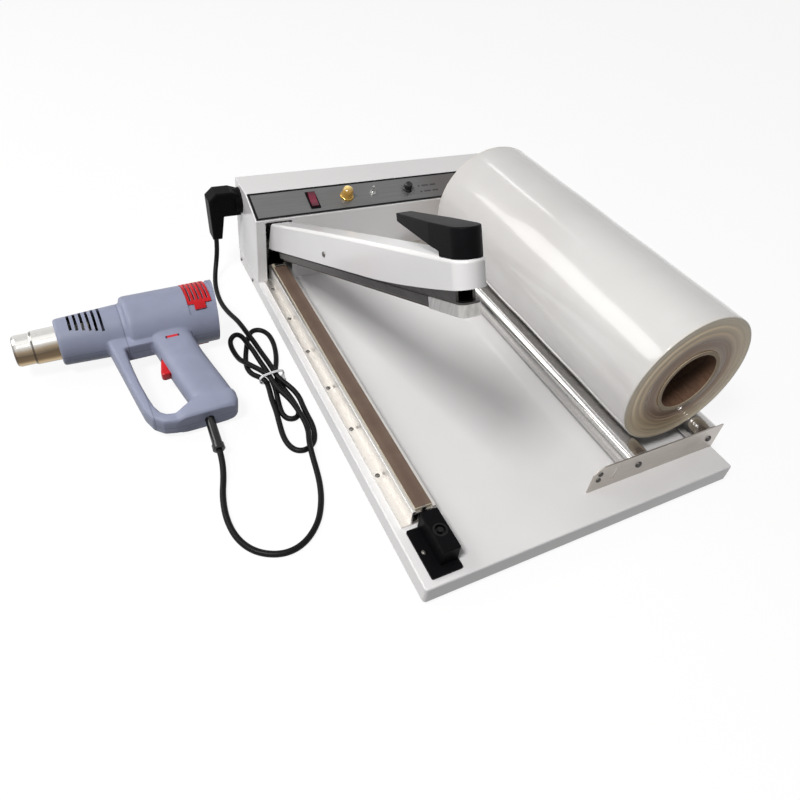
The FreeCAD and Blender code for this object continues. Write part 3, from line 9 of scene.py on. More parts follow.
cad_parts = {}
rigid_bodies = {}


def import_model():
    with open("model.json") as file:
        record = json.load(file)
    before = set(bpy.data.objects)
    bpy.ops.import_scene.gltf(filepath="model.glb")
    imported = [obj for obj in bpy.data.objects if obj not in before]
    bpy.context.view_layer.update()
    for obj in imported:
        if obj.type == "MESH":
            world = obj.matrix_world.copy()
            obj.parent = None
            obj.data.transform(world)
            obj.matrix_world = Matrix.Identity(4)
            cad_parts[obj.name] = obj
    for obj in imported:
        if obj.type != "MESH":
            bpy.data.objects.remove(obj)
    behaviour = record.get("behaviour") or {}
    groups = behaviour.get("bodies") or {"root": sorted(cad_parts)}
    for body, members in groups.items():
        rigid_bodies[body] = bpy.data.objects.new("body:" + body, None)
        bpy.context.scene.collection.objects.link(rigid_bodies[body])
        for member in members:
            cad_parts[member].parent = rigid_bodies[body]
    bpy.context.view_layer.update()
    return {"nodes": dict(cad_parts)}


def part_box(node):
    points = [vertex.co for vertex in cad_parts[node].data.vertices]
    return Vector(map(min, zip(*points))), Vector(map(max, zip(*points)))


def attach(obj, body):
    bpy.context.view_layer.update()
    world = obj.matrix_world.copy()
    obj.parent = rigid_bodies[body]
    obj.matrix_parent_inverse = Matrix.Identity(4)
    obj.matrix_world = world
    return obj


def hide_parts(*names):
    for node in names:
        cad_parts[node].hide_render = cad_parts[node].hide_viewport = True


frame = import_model()


# Places: points on the tray, the gun and the arm are in millimetres, and these turn them into metres
trayCorner = Vector((-61.13, -330.25, 6.0))
gunPlace = (-90, 482, 35.3)
gunTurn = Matrix.Rotation(math.radians(3), 4, "Z") @ Matrix.Rotation(math.radians(7), 4, "X")
armPivot = Vector((0, 578.8, 70))
armTurn = Matrix.Rotation(math.radians(-26.3), 4, "X")
up, down = Vector((0, 0, 1)), Vector((0, 0, -1))
left, right = Vector((-1, 0, 0)), Vector((1, 0, 0))
front, back = Vector((0, -1, 0)), Vector((0, 1, 0))


def onTray(x, y, z):
    return (Vector((x, y, z)) + trayCorner) / 1000


def onGun(x, y, z=0.0):
    return onTray(*(gunTurn @ Vector((x, y, z)) + Vector(gunPlace)))


def onArm(x, y, z):
    return onTray(*(armTurn @ (Vector((x, y, z)) - armPivot) + armPivot))


def tone(red, green, blue):  # 0 to 255 as seen, to the linear value that a shader takes
    def linear(value):
        value /= 255
        return value / 12.92 if value <= 0.04045 else ((value + 0.055) / 1.055) ** 2.4
    return (linear(red), linear(green), linear(blue), 1.0)


# Node trees: a Wire is one output socket, and sums on it add Math nodes
def mathsNode(operation, flipped=False):
    def add(self, other=0.0):
        first, second = (other, self) if flipped else (self, other)
        return self.nodes.add("ShaderNodeMath", {"operation": operation}, {0: first, 1: second})
    return add


class Wire:
    def __init__(self, nodes, socket):
        self.nodes = nodes
        self.socket = socket

    __add__, __radd__ = mathsNode("ADD"), mathsNode("ADD", True)
    __sub__, __rsub__ = mathsNode("SUBTRACT"), mathsNode("SUBTRACT", True)
    __mul__, __rmul__ = mathsNode("MULTIPLY"), mathsNode("MULTIPLY", True)
    __truediv__, __rtruediv__ = mathsNode("DIVIDE"), mathsNode("DIVIDE", True)
    __pow__, __gt__, __lt__ = mathsNode("POWER"), mathsNode("GREATER_THAN"), mathsNode("LESS_THAN")
    __abs__, sine, fraction = mathsNode("ABSOLUTE"), mathsNode("SINE"), mathsNode("FRACT")
    least, most, angle = mathsNode("MINIMUM"), mathsNode("MAXIMUM"), mathsNode("ARCTAN2")

    def span(self, low, high, first=0.0, last=1.0):
        return self.nodes.add("ShaderNodeMapRange", {"interpolation_type": "SMOOTHSTEP"},
                              {0: self, 1: low, 2: high, 3: first, 4: last})


class Nodes:
    def __init__(self, tree):
        self.tree = tree

    def add(self, kind, settings=None, values=None, output=0):
        node = self.tree.nodes.new(kind)
        for key, value in (settings or {}).items():
            if key == "stops":
                ramp = node.color_ramp
                while len(ramp.elements) < len(value):
                    ramp.elements.new(1.0)
                for stop, (where, *colour) in zip(ramp.elements, value):
                    stop.position = where
                    stop.color = tone(*colour)
            else:
                setattr(node, key, value)
        for key, value in (values or {}).items():
            if isinstance(value, Wire):
                self.tree.links.new(value.socket, node.inputs[key])
            elif isinstance(value, list):
                for wire in reversed(value):
                    self.tree.links.new(wire.socket, node.inputs[key])
            else:
                node.inputs[key].default_value = value
        return Wire(self, node.outputs[output])

    def other(self, wire, output):
        return Wire(self, wire.socket.node.outputs[output])

    def combine(self, x, y, z):
        return self.add("ShaderNodeCombineXYZ", values={0: x, 1: y, 2: z})

    def axes(self, source):
        first = self.add("ShaderNodeSeparateXYZ", values={0: source})
        return [first, self.other(first, 1), self.other(first, 2)]

    def mix(self, factor, first, second):
        return self.add("ShaderNodeMix", {"data_type": "RGBA"}, {0: factor, 6: first, 7: second}, 2)

    def rays(self):  # 1 for rays that come straight from the camera, and 1 for those seen in metal or glass
        straight = self.add("ShaderNodeLightPath", output="Is Camera Ray")
        glossy = self.other(straight, "Is Glossy Ray")
        return straight, (glossy + self.other(straight, "Is Transmission Ray")).least(1.0)


class Recipe(Nodes):  # a material, with its pattern in Object coordinates
    def __init__(self, name):
        self.material = bpy.data.materials.new(name)
        self.material.use_nodes = True
        super().__init__(self.material.node_tree)
        self.tree.nodes.clear()
        self.out = self.tree.nodes.new("ShaderNodeOutputMaterial")
        self.place = self.add("ShaderNodeTexCoord", output="Object")

    def scaled(self, x, y, z, shift=(0, 0, 0)):
        return self.add("ShaderNodeMapping",
                        values={"Vector": self.place, "Location": shift, "Scale": (x, y, z)})

    def noise(self, scale, detail=2.0, rough=0.5, where=None):
        return self.add("ShaderNodeTexNoise", {"noise_dimensions": "3D"},
                        {"Vector": where or self.place, "Scale": scale, "Detail": detail,
                         "Roughness": rough})

    def distance(self, across, up):
        return (across * across + up * up) ** 0.5

    def bump(self, height, strength, distance):
        return self.add("ShaderNodeBump",
                        values={"Height": height, "Strength": strength, "Distance": distance})

    def finish(self, values):
        surface = self.add("ShaderNodeBsdfPrincipled", values=values)
        self.tree.links.new(surface.socket, self.out.inputs["Surface"])
        return self.material


class Steps(Nodes):  # a Geometry Nodes tree with named inputs
    def __init__(self, name, inputs):
        super().__init__(bpy.data.node_groups.new(name, "GeometryNodeTree"))
        face = self.tree.interface
        face.new_socket("Geometry", in_out="INPUT", socket_type="NodeSocketGeometry")
        self.ids = {}
        for label, kind in inputs:
            socket = face.new_socket(label, in_out="INPUT", socket_type="NodeSocket" + kind)
            self.ids[label] = socket.identifier
        face.new_socket("Geometry", in_out="OUTPUT", socket_type="NodeSocketGeometry")
        self.start = self.tree.nodes.new("NodeGroupInput")
        self.end = self.tree.nodes.new("NodeGroupOutput")

    def given(self, label):
        return Wire(self, self.start.outputs[label])

    def moved(self, shape, place=(0, 0, 0), size=(1, 1, 1)):
        return self.add("GeometryNodeTransform",
                        values={"Geometry": shape, "Translation": place, "Scale": size})

    def joined(self, *shapes):
        return self.add("GeometryNodeJoinGeometry", values={"Geometry": list(shapes)})

    def close(self, shape, material):
        real = self.add("GeometryNodeRealizeInstances", values={"Geometry": shape})
        done = self.add("GeometryNodeSetMaterial", values={"Geometry": real, "Material": material})
        self.tree.links.new(done.socket, self.end.inputs["Geometry"])

    def run(self, thing, values):  # the plain mesh that the tree gives for an object
        step = thing.modifiers.new(self.tree.name, "NODES")
        step.node_group = self.tree
        for label, value in values.items():
            step[self.ids[label]] = value
        mesh = applied(thing)
        thing.modifiers.remove(step)
        return mesh


# Meshes and objects
def meshFrom(builder, name):
    shape = bmesh.new()
    builder(shape)
    bmesh.ops.recalc_face_normals(shape, faces=shape.faces)
    mesh = bpy.data.meshes.new(name)
    shape.to_mesh(mesh)
    shape.free()
    return mesh


def shown(name, mesh):
    thing = bpy.data.objects.new(name, mesh)
    bpy.context.collection.objects.link(thing)
    return thing


def applied(thing):
    bpy.context.view_layer.update()
    depsgraph = bpy.context.evaluated_depsgraph_get()
    return bpy.data.meshes.new_from_object(thing.evaluated_get(depsgraph), depsgraph=depsgraph)


def discard(*things):
    for thing in things:
        mesh = thing.data
        bpy.data.objects.remove(thing)
        if mesh.users == 0:
            bpy.data.meshes.remove(mesh)


def addPiece(name, mesh, body, material=None, replaces=(), sharp=None):
    mesh.name = name
    thing = shown(name, mesh)
    if material is not None:
        mesh.materials.clear()
        mesh.materials.append(material)
    for face in mesh.polygons:
        face.use_smooth = True
    if sharp is not None:
        mesh.set_sharp_from_angle(angle=math.radians(sharp))
    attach(thing, body)
    if replaces:
        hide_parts(*replaces)
    return thing


def around(count):  # the angles of a full turn
    return [2 * math.pi * k / count for k in range(count)]


def loft(shape, sections, closed=False):  # a skin over rings of points, with ends unless it is closed
    rings = [[shape.verts.new(point) for point in section] for section in sections]
    for first, second in zip(rings, rings[1:] + (rings[:1] if closed else [])):
        for k in range(len(first)):
            n = (k + 1) % len(first)
            shape.faces.new((first[k], first[n], second[n], second[k]))
    if not closed:
        shape.faces.new(rings[0])
        shape.faces.new(rings[-1])


def lathe(shape, profile, sides=96):  # profile: places along x and radii
    loft(shape, [[(x, r * math.cos(a), r * math.sin(a)) for a in around(sides)] for x, r in profile])


def oval(middle, across, over, halfAcross, halfOver, power=2.6, sides=40):
    ring = []
    for a in around(sides):
        ca, sa = math.cos(a), math.sin(a)
        ring.append(middle + across * (halfAcross * math.copysign(abs(ca) ** (2 / power), ca))
                    + over * (halfOver * math.copysign(abs(sa) ** (2 / power), sa)))
    return ring


def block(shape, x0, x1, y0, y1, z0, z1):
    made = bmesh.ops.create_cube(shape, size=1)["verts"]
    bmesh.ops.scale(shape, vec=(x1 - x0, y1 - y0, z1 - z0), verts=made)
    bmesh.ops.translate(shape, vec=((x0 + x1) / 2, (y0 + y1) / 2, (z0 + z1) / 2), verts=made)


def tubeAlong(shape, points, radius, sides=10, closed=False):
    sections = []
    count = len(points)
    for index, point in enumerate(points):
        before = points[index - 1] if index or closed else point
        after = points[(index + 1) % count] if index < count - 1 or closed else point
        along = (after - before).normalized()
        across = along.cross(up)
        if across.length < 0.2:
            across = along.cross(back)
        across.normalize()
        over = across.cross(along)
        sections.append([point + (across * math.cos(a) + over * math.sin(a)) * radius
                         for a in around(sides)])
    loft(shape, sections, closed)


# Camera
view = {"place": (-0.28273, -0.59325, 0.60210), "forward": (0.411947, 0.639970, -0.648643),
        "right": (0.885329, -0.449553, 0.118723), "lens": 29.531, "shift": (-0.01993, -0.04597)}


def makeCamera():
    data = bpy.data.cameras.new("camera")
    data.sensor_width = 36
    data.lens = view["lens"]
    data.shift_x, data.shift_y = view["shift"]
    data.clip_start = 0.05
    camera = shown("camera", data)
    forward = Vector(view["forward"]).normalized()
    aside = Vector(view["right"]).normalized()
    turn = Matrix((aside, aside.cross(forward), -forward)).transposed()
    camera.matrix_world = Matrix.Translation(view["place"]) @ turn.to_4x4()
    bpy.context.scene.camera = camera


makeCamera()


# Room: white floor, a world that is bright above and on the left, and soft lamps, each with its
# place, aim, size, power and colour
room = {"floorSize": 8.0, "floorGlow": 0.90, "floorPaint": (tone(90, 90, 90), tone(94, 94, 94)),
        "low": 0.03, "top": 0.11, "topSpan": (0.0, 0.9), "left": 0.42, "leftSpan": (-0.9, -0.1),
        "mirrorTop": 0.85, "mirrorSpan": (0.25, 0.8), "skyShare": 0.8,
        "warm": (1.0, 0.99, 0.97), "plain": (1.0, 1.0, 1.0)}
lamps = {"key": ((-0.97, -0.615, 1.815), (0.14, -0.15, 0.03), (0.46, 0.46), 32, "warm"),
         "windowLeft": ((-1.55, 1.15, 1.55), (0.12, 0.0, 0.1), (1.7, 0.95), 19, "warm"),
         "overhead": ((0.1, 0.35, 2.3), (0.1, -0.05, 0.0), (1.6, 1.1), 2, "plain"),
         "stripRear": ((0.42, 1.75, 1.95), (0.25, 0.0, 0.15), (0.14, 0.5), 0.9, "plain")}


def makeFloor():
    paper = Recipe("floorPaper")
    paint = paper.mix(paper.noise(300), *room["floorPaint"])
    plain = paper.add("ShaderNodeBsdfDiffuse", values={"Color": paint})
    straight, mirrored = paper.rays()
    glow = paper.add("ShaderNodeEmission",
                     values={"Strength": (straight + mirrored).least(1.0) * room["floorGlow"]})
    both = paper.add("ShaderNodeAddShader", values={0: plain, 1: glow})
    paper.tree.links.new(both.socket, paper.out.inputs["Surface"])
    half = room["floorSize"] / 2
    mesh = bpy.data.meshes.new("floor")
    mesh.from_pydata([(-half, -half, 0), (half, -half, 0), (half, half, 0), (-half, half, 0)], [],
                     [(0, 1, 2, 3)])
    mesh.materials.append(paper.material)
    shown("floor", mesh)


def makeWorld():
    world = bpy.data.worlds.new("studio")
    bpy.context.scene.world = world
    world.use_nodes = True
    sky = Nodes(world.node_tree)
    sky.tree.nodes.clear()
    x, y, z = sky.axes(sky.add("ShaderNodeTexCoord", output="Generated"))
    soft = room["low"] + z.span(*room["topSpan"], 0.0, room["top"])
    soft = soft + x.span(*room["leftSpan"], room["left"], 0.0)
    straight, mirrored = sky.rays()
    bright = mirrored * z.span(*room["mirrorSpan"], 1.0, room["mirrorTop"])
    unseen = 1.0 - (straight + mirrored).least(1.0)
    strength = straight + (bright + soft * unseen) * room["skyShare"]
    light = sky.add("ShaderNodeBackground", values={"Color": (1, 1, 1, 1), "Strength": strength})
    out = sky.tree.nodes.new("ShaderNodeOutputWorld")
    sky.tree.links.new(light.socket, out.inputs["Surface"])


def makeLamps():
    for name, (place, aim, size, power, colour) in lamps.items():
        data = bpy.data.lights.new(name, "AREA")
        data.shape = "RECTANGLE"
        data.size, data.size_y = size
        data.energy = power
        data.color = room[colour]
        thing = shown(name, data)
        thing.location = place
        thing.rotation_euler = (Vector(place) - Vector(aim)).to_track_quat("Z", "Y").to_euler()


makeFloor()
makeWorld()
makeLamps()
bpy.context.scene.view_settings.view_transform = "Standard"
print("room made")


# Finishes
def paintFinish():
    paint = Recipe("whitePaint")
    cloud = paint.noise(5, 3, 0.55)
    peel = paint.noise(620)
    fine = paint.noise(2600, 1)
    specks = paint.noise(900, 1, 0.4, where=paint.scaled(1, 1, 1, shift=(3.1, 1.7, 0.4))) > 0.77
    body = paint.mix(cloud.span(0.35, 0.68), tone(227, 226, 227), tone(222, 221, 222))
    body = paint.mix(specks * 0.10, body, tone(120, 118, 112))
    return paint.finish({
        "Base Color": body, "Roughness": cloud * 0.10 + 0.20,
        "Coat Weight": cloud.span(0.3, 0.8, 0.20, 0.30), "Coat Roughness": 0.12,
        "Normal": paint.bump(peel * 0.75 + fine * 0.25, 0.10, 0.0004)})


def blackFinish(name, colour, rough, grainScale=1900.0, strength=0.35, coat=0.0, shine=0.35):
    plastic = Recipe(name)
    grain = plastic.noise(grainScale, 3, 0.6)
    rub = plastic.noise(34, 4, 0.6)
    lift = tuple(min(1.0, c * 1.3 + 0.0005) for c in colour[:3]) + (1.0,)
    return plastic.finish({
        "Base Color": plastic.mix(rub.span(0.48, 0.74), colour, lift),
        "Roughness": grain * 0.12 + rub * 0.10 + (rough - 0.11), "Specular IOR Level": shine,
        "Coat Weight": coat, "Coat Roughness": 0.08, "Normal": plastic.bump(grain, strength, 0.00025)})


def metalFinish(name, colour, rough, brushed=(40, 40, 40), strength=0.12, stain=None, contrast=0.8):
    metal = Recipe(name)
    lines = metal.noise(1.0, 2, 0.6, where=metal.scaled(*brushed))
    cloud = metal.noise(14, 3, 0.55)
    dull = tuple(c * contrast for c in colour[:3]) + (1.0,)
    body = metal.mix(lines.span(0.3, 0.7), dull, colour)
    if stain is not None:
        body = metal.mix(cloud.span(0.45, 0.75) * 0.5, body, stain)
    return metal.finish({
        "Base Color": body, "Metallic": 1.0, "Roughness": cloud * 0.10 + lines * 0.08 + (rough - 0.09),
        "Normal": metal.bump(lines, strength, 0.0002)})


def plainFinish(name, colour, rough, scale=900.0, strength=0.2, metallic=0.0):
    plain = Recipe(name)
    grain = plain.noise(scale, 3, 0.6)
    cloud = plain.noise(25, 3, 0.6)
    dark = tuple(c * 0.82 for c in colour[:3]) + (1.0,)
    return plain.finish({
        "Base Color": plain.mix(cloud.span(0.35, 0.7), colour, dark), "Metallic": metallic,
        "Roughness": grain * 0.12 + (rough - 0.06), "Normal": plain.bump(grain, strength, 0.0003)})


# Brushed control panel with its black border and a small scale printed beside the timer
panel = {
    "rise": 18.0, "run": 50.0, "edge": 0.0004, "line": 0.0034, "shade": (0.01, 0.07),
    "rows": (-0.0065, 0.0045), "rowHalf": 0.0014, "rowInk": 0.6,
    "bars": ((0.0215, 0.0018), (0.0325, 0.0060), (0.0465, 0.0052)), "ticks": 12, "tickGap": 0.86,
    "tickReach": (0.0092, 0.0112), "tickTop": 0.012}


def panelFinish():
    low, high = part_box("control_panel")
    knobLow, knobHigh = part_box("timer_knob")
    knob = (knobLow + knobHigh) / 2
    slope = math.cos(math.atan2(panel["rise"], panel["run"]))
    sheet = Recipe("panelMetal")
    x, y, z = sheet.axes(sheet.place)
    fromSide = (high.x - low.x) / 2 - abs(x - (low.x + high.x) / 2)
    fromEdge = ((high.y - low.y) / 2 - abs(y - (low.y + high.y) / 2)) / slope
    nearest = fromSide.least(fromEdge)
    marks = (nearest > panel["edge"]) * (nearest < panel["edge"] + panel["line"])
    for row in panel["rows"]:
        for along, half in panel["bars"]:
            bar = (abs(x - (knob.x + along)) < half) * (abs(y - (knob.y + row)) < panel["rowHalf"])
            marks = marks.most(bar * panel["rowInk"])
    across, over = x - knob.x, y - knob.y
    out = sheet.distance(across, over)
    near, far = panel["tickReach"]
    ticks = (over.angle(across) * panel["ticks"]).sine() > panel["tickGap"]
    marks = marks.most(ticks * (out > near) * (out < far) * (over < panel["tickTop"]))
    brush = sheet.noise(1.0, 3, 0.6, where=sheet.scaled(14, 1300, 1300))
    cloud = sheet.noise(9)
    grey = sheet.mix(brush.span(0.25, 0.75), tone(116, 117, 117), tone(130, 131, 131))
    grey = sheet.mix(cloud.span(0.4, 0.7) * 0.35, grey, tone(108, 104, 104))
    # painted shade: from beside the knob to the panel's right end the grey turns darker and a little pink
    grey = sheet.mix(across.span(*panel["shade"]) * 0.5, grey, tone(100, 92, 92))
    return sheet.finish({
        "Base Color": sheet.mix(marks, grey, tone(12, 12, 13)), "Metallic": 0.55 - marks * 0.5,
        "Roughness": brush * 0.08 + 0.30, "Specular IOR Level": 0.15,
        "Normal": sheet.bump(brush, 0.05, 0.0002)})


def ptfeFinish():
    low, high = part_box("teflon_strip")
    cloth = Recipe("coatedCloth")
    bands = [cloth.add("ShaderNodeTexWave", {"wave_type": "BANDS", "bands_direction": side},
                       {"Vector": cloth.place, "Scale": 260.0, "Distortion": 0.4, "Detail": 1.0})
             for side in "XY"]
    weave = bands[0] * bands[1]
    cloud = cloth.noise(28, 4, 0.6)
    x, y, z = cloth.axes(cloth.place)
    scorch = abs(x - (low.x + high.x) / 2).span(0.0015, 0.0065, 1.0, 0.0) * 0.30
    brown = cloth.mix(cloud.span(0.3, 0.7), tone(104, 86, 75), tone(116, 98, 86))
    brown = cloth.mix(weave * 0.2 + scorch, brown, tone(84, 66, 56))
    return cloth.finish({
        "Base Color": brown, "Roughness": cloud * 0.15 + 0.42, "Specular IOR Level": 0.3,
        "Normal": cloth.bump(weave, 0.3, 0.0002)})


# Film: milky on its face, beige and brown wound edges at its ends, a paler line by the core.
# A stop is its place and its tone as seen
filmEnd = {"bore": 0.0437, "rim": 0.0896, "face": 0.0874, "deep": (0.0035, 0.006),
           "stops": [(0.0, 238, 220, 190), (0.04, 174, 146, 120), (0.14, 130, 102, 82),
                     (0.34, 158, 130, 106), (0.46, 214, 190, 158), (0.72, 236, 216, 184),
                     (0.90, 246, 231, 204), (1.0, 240, 233, 218)]}


def filmFinish():
    film = Recipe("filmMilk")
    x, y, z = film.axes(film.place)
    low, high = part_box("film_roll")
    radius = film.distance(x - (low.x + high.x) / 2, z - (low.z + high.z) / 2)
    fromEnd = (y - low.y).least(high.y - y)
    onEnd = radius.span(filmEnd["face"], filmEnd["rim"], 1.0, 0.0)
    onEnd = onEnd * fromEnd.span(*filmEnd["deep"], 1.0, 0.0)
    layers = (radius * 5200 + film.noise(9, 3) * 9).sine()
    broad = film.noise(1.0, 3, 0.6, where=film.combine(radius * 190, 0.3, 0.7))
    wrap = film.noise(1.0, 3, 0.5, where=film.scaled(9, 34, 9))
    ripple = film.noise(1.0, 2, 0.5, where=film.scaled(28, 7, 28))
    cloud = film.noise(7)
    skin = film.mix(cloud.span(0.3, 0.7), tone(205, 203, 202), tone(213, 212, 211))
    skin = film.mix(wrap.span(0.45, 0.85) * 0.2, skin, tone(200, 197, 196))
    where = (radius - filmEnd["bore"]) / (filmEnd["rim"] - filmEnd["bore"])
    ends = film.add("ShaderNodeValToRGB", {"stops": filmEnd["stops"]}, {0: where})
    ends = film.mix(broad.span(0.35, 0.7) * 0.3, ends, tone(140, 122, 102))
    ends = film.mix(layers.span(0.2, 1.0) * 0.14, ends, tone(92, 76, 62))
    height = wrap * 0.5 + ripple * 0.8 + onEnd * layers * 0.05
    return film.finish({
        "Base Color": film.mix(onEnd, skin, ends), "Roughness": onEnd * 0.25 + (cloud * 0.06 + 0.17),
        "Coat Weight": 0.6 - onEnd * 0.4, "Coat Roughness": 0.06, "IOR": 1.5,
        "Normal": film.bump(height, 0.22, 0.0009)})


def cardboardFinish():
    card = Recipe("cardboard")
    low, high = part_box("film_core")
    x, y, z = card.axes(card.place)
    angle = (z - (low.z + high.z) / 2).angle(x - (low.x + high.x) / 2)
    turns = angle / (2 * math.pi) + y * 14
    spiral = turns.fraction()
    seam = abs(spiral - 0.5).span(0.0, 0.02, 1.0, 0.0)
    fibre = card.noise(1.0, 4, 0.65, where=card.scaled(420, 90, 420))
    blotch = card.noise(30, 3)
    brown = card.mix(fibre.span(0.3, 0.75), tone(88, 62, 46), tone(118, 88, 68))
    brown = card.mix(blotch.span(0.4, 0.7) * 0.4, brown, tone(84, 62, 48))
    brown = card.mix(seam * 0.7, brown, tone(56, 42, 32))
    brown = card.mix(y.span(low.y, low.y + 0.0012, 0.8, 0.0), brown, tone(206, 190, 166))
    return card.finish({
        "Base Color": brown, "Roughness": 0.86, "Normal": card.bump(fibre - seam * 1.5, 0.4, 0.0004)})


# Gun's grey plastic: its parting line, the ring in front of its step, the small red mark on its grip,
# and painted shade: its inside, seen through the slots and windows, is painted near-black
gunMarks = {
    "ring": -110.0, "markMiddle": (-57.5, -48.0), "markHalf": (8.5, 1.9), "markEnd": 6.2,
    "markOver": 8.0, "wallFront": 28.6, "wallRear": 39.2, "mouth": -181.0, "step": -96.0, "back": 4.0,
    "housingFront": -184.0, "nozzleStep": -211.0, "nozzleTip": (-232.0, -228.5)}


def gunAxes(recipe):  # the place on the gun, in millimetres along and across its barrel
    return recipe.axes(recipe.add("ShaderNodeMapping", {"vector_type": "TEXTURE"},
                                  {"Vector": recipe.place, "Location": onTray(*gunPlace),
                                   "Rotation": gunTurn.to_euler(), "Scale": (0.001, 0.001, 0.001)}))


def gunFinish():
    grey = Recipe("gunGrey")
    x, y, z = gunAxes(grey)
    cloud = grey.noise(20, 3, 0.55)
    grain = grey.noise(1500, 2, 0.55)
    handled = grey.noise(60, 4, 0.6)
    seam = abs(z).span(0.22, 0.6, 1.0, 0.0)
    ring = abs(x - gunMarks["ring"]).span(0.3, 1.0, 1.0, 0.0)
    groove = seam.most(ring * 0.8)
    radius = grey.distance(y, z)
    shadedInsideFore = (radius < gunMarks["wallFront"]) * (x < gunMarks["ring"]) * (x > gunMarks["mouth"])
    rear = (radius < gunMarks["wallRear"]) * (x > gunMarks["step"]) * (x < gunMarks["back"])
    mx, my = gunMarks["markMiddle"]
    hx, hy = gunMarks["markHalf"]
    mark = (abs(x - mx) < hx) * (abs(y - my) < hy) * (z > gunMarks["markOver"])
    markEnd = abs(x - mx).span(gunMarks["markEnd"], gunMarks["markEnd"] + 0.8)
    body = grey.mix(cloud.span(0.35, 0.7), tone(147, 152, 175), tone(139, 144, 166))
    body = grey.mix(groove * 0.5, body, tone(70, 74, 92))
    body = grey.mix(mark, body, grey.mix(markEnd, tone(206, 44, 56), tone(62, 24, 44)))
    # painted shade: the inside of the housing behind the slots and windows is painted near-black
    body = grey.mix(shadedInsideFore.most(rear), body, tone(14, 14, 16))
    return grey.finish({
        "Base Color": body, "Roughness": grain * 0.08 + handled * 0.10 + 0.38,
        "Specular IOR Level": 0.3, "Normal": grey.bump(grain * 0.2 - groove - mark, 0.35, 0.0003)})


# Nozzle: bright steel, painted reflection round it from its underside, painted shade behind the slots
nozzleReflectionTones = [(0.0, 74, 66, 56), (0.30, 120, 114, 106), (0.38, 104, 102, 99), (0.43, 238, 236, 232),
               (0.60, 248, 246, 242), (0.645, 172, 154, 130), (0.69, 98, 84, 68), (0.75, 116, 98, 76),
               (0.80, 198, 174, 136), (0.87, 122, 106, 84), (1.0, 74, 66, 56)]


def nozzleFinish():
    steel = Recipe("nozzleSteel")
    x, y, z = gunAxes(steel)
    cloud = steel.noise(30, 3, 0.55)
    turn = (y * -1.0).angle(z) / (2 * math.pi) + 0.5
    # painted reflection: by its angle round the axis the steel is white on top and tan and dark below
    paintedReflection = steel.add("ShaderNodeValToRGB", {"stops": nozzleReflectionTones}, {0: turn + (cloud - 0.5) * 0.03})
    edge = abs(x - gunMarks["nozzleStep"]).span(0.6, 1.6, 1.0, 0.0)
    tip = x.span(*gunMarks["nozzleTip"], 1.0, 0.0)
    body = steel.mix(edge.most(tip) * 0.75, paintedReflection, tone(52, 46, 40))
    # painted shade: where the nozzle lies inside the housing it is painted near-black
    body = steel.mix(x > gunMarks["housingFront"], body, tone(14, 13, 12))
    return steel.finish({"Base Color": body, "Metallic": 0.92, "Roughness": cloud * 0.08 + 0.14})


def redFinish():
    red = Recipe("redPlastic")
    grain = red.noise(1200)
    cloud = red.noise(40, 3)
    return red.finish({
        "Base Color": red.mix(cloud.span(0.35, 0.7), tone(206, 20, 30), tone(182, 12, 24)),
        "Roughness": grain * 0.10 + 0.25, "Specular IOR Level": 0.35,
        "Normal": red.bump(grain, 0.15, 0.0002)})


def rockerFinish():
    red = Recipe("rockerRed")
    low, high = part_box("rocker_button")
    x, y, z = red.axes(red.place)
    # painted highlight and shade: the button is lighter across its middle and darker towards both ends, and
    # the same mask sets its faint glow as a lit switch
    glow = abs((y - low.y) / (high.y - low.y) - 0.45).span(0.05, 0.55, 1.0, 0.0)
    grain = red.noise(900)
    return red.finish({
        "Base Color": red.mix(glow, tone(54, 4, 24), tone(112, 10, 46)),
        "Roughness": grain * 0.08 + 0.16,
        "Emission Color": red.mix(glow, tone(40, 0, 14), tone(150, 12, 60)), "Emission Strength": 0.08,
        "Coat Weight": 0.5, "Coat Roughness": 0.05})


def amberFinish():
    amber = Recipe("amberLens")
    low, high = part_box("pilot_lamp_lens")
    middle = (low + high) / 2
    x, y, z = amber.axes(amber.place)
    inside = amber.distance(x - middle.x, y - middle.y).span(0.001, 0.0095, 1.0, 0.0)
    facets = amber.add("ShaderNodeTexVoronoi", {"feature": "DISTANCE_TO_EDGE"},
                       {"Vector": amber.place, "Scale": 520.0})
    return amber.finish({
        "Base Color": amber.mix(inside, tone(160, 124, 50), tone(234, 206, 120)),
        "Emission Color": amber.mix(inside, tone(150, 108, 30), tone(250, 226, 150)),
        "Emission Strength": 0.32, "Roughness": 0.14, "Coat Weight": 0.7, "Coat Roughness": 0.04,
        "Normal": amber.bump(facets, 0.35, 0.0006)})


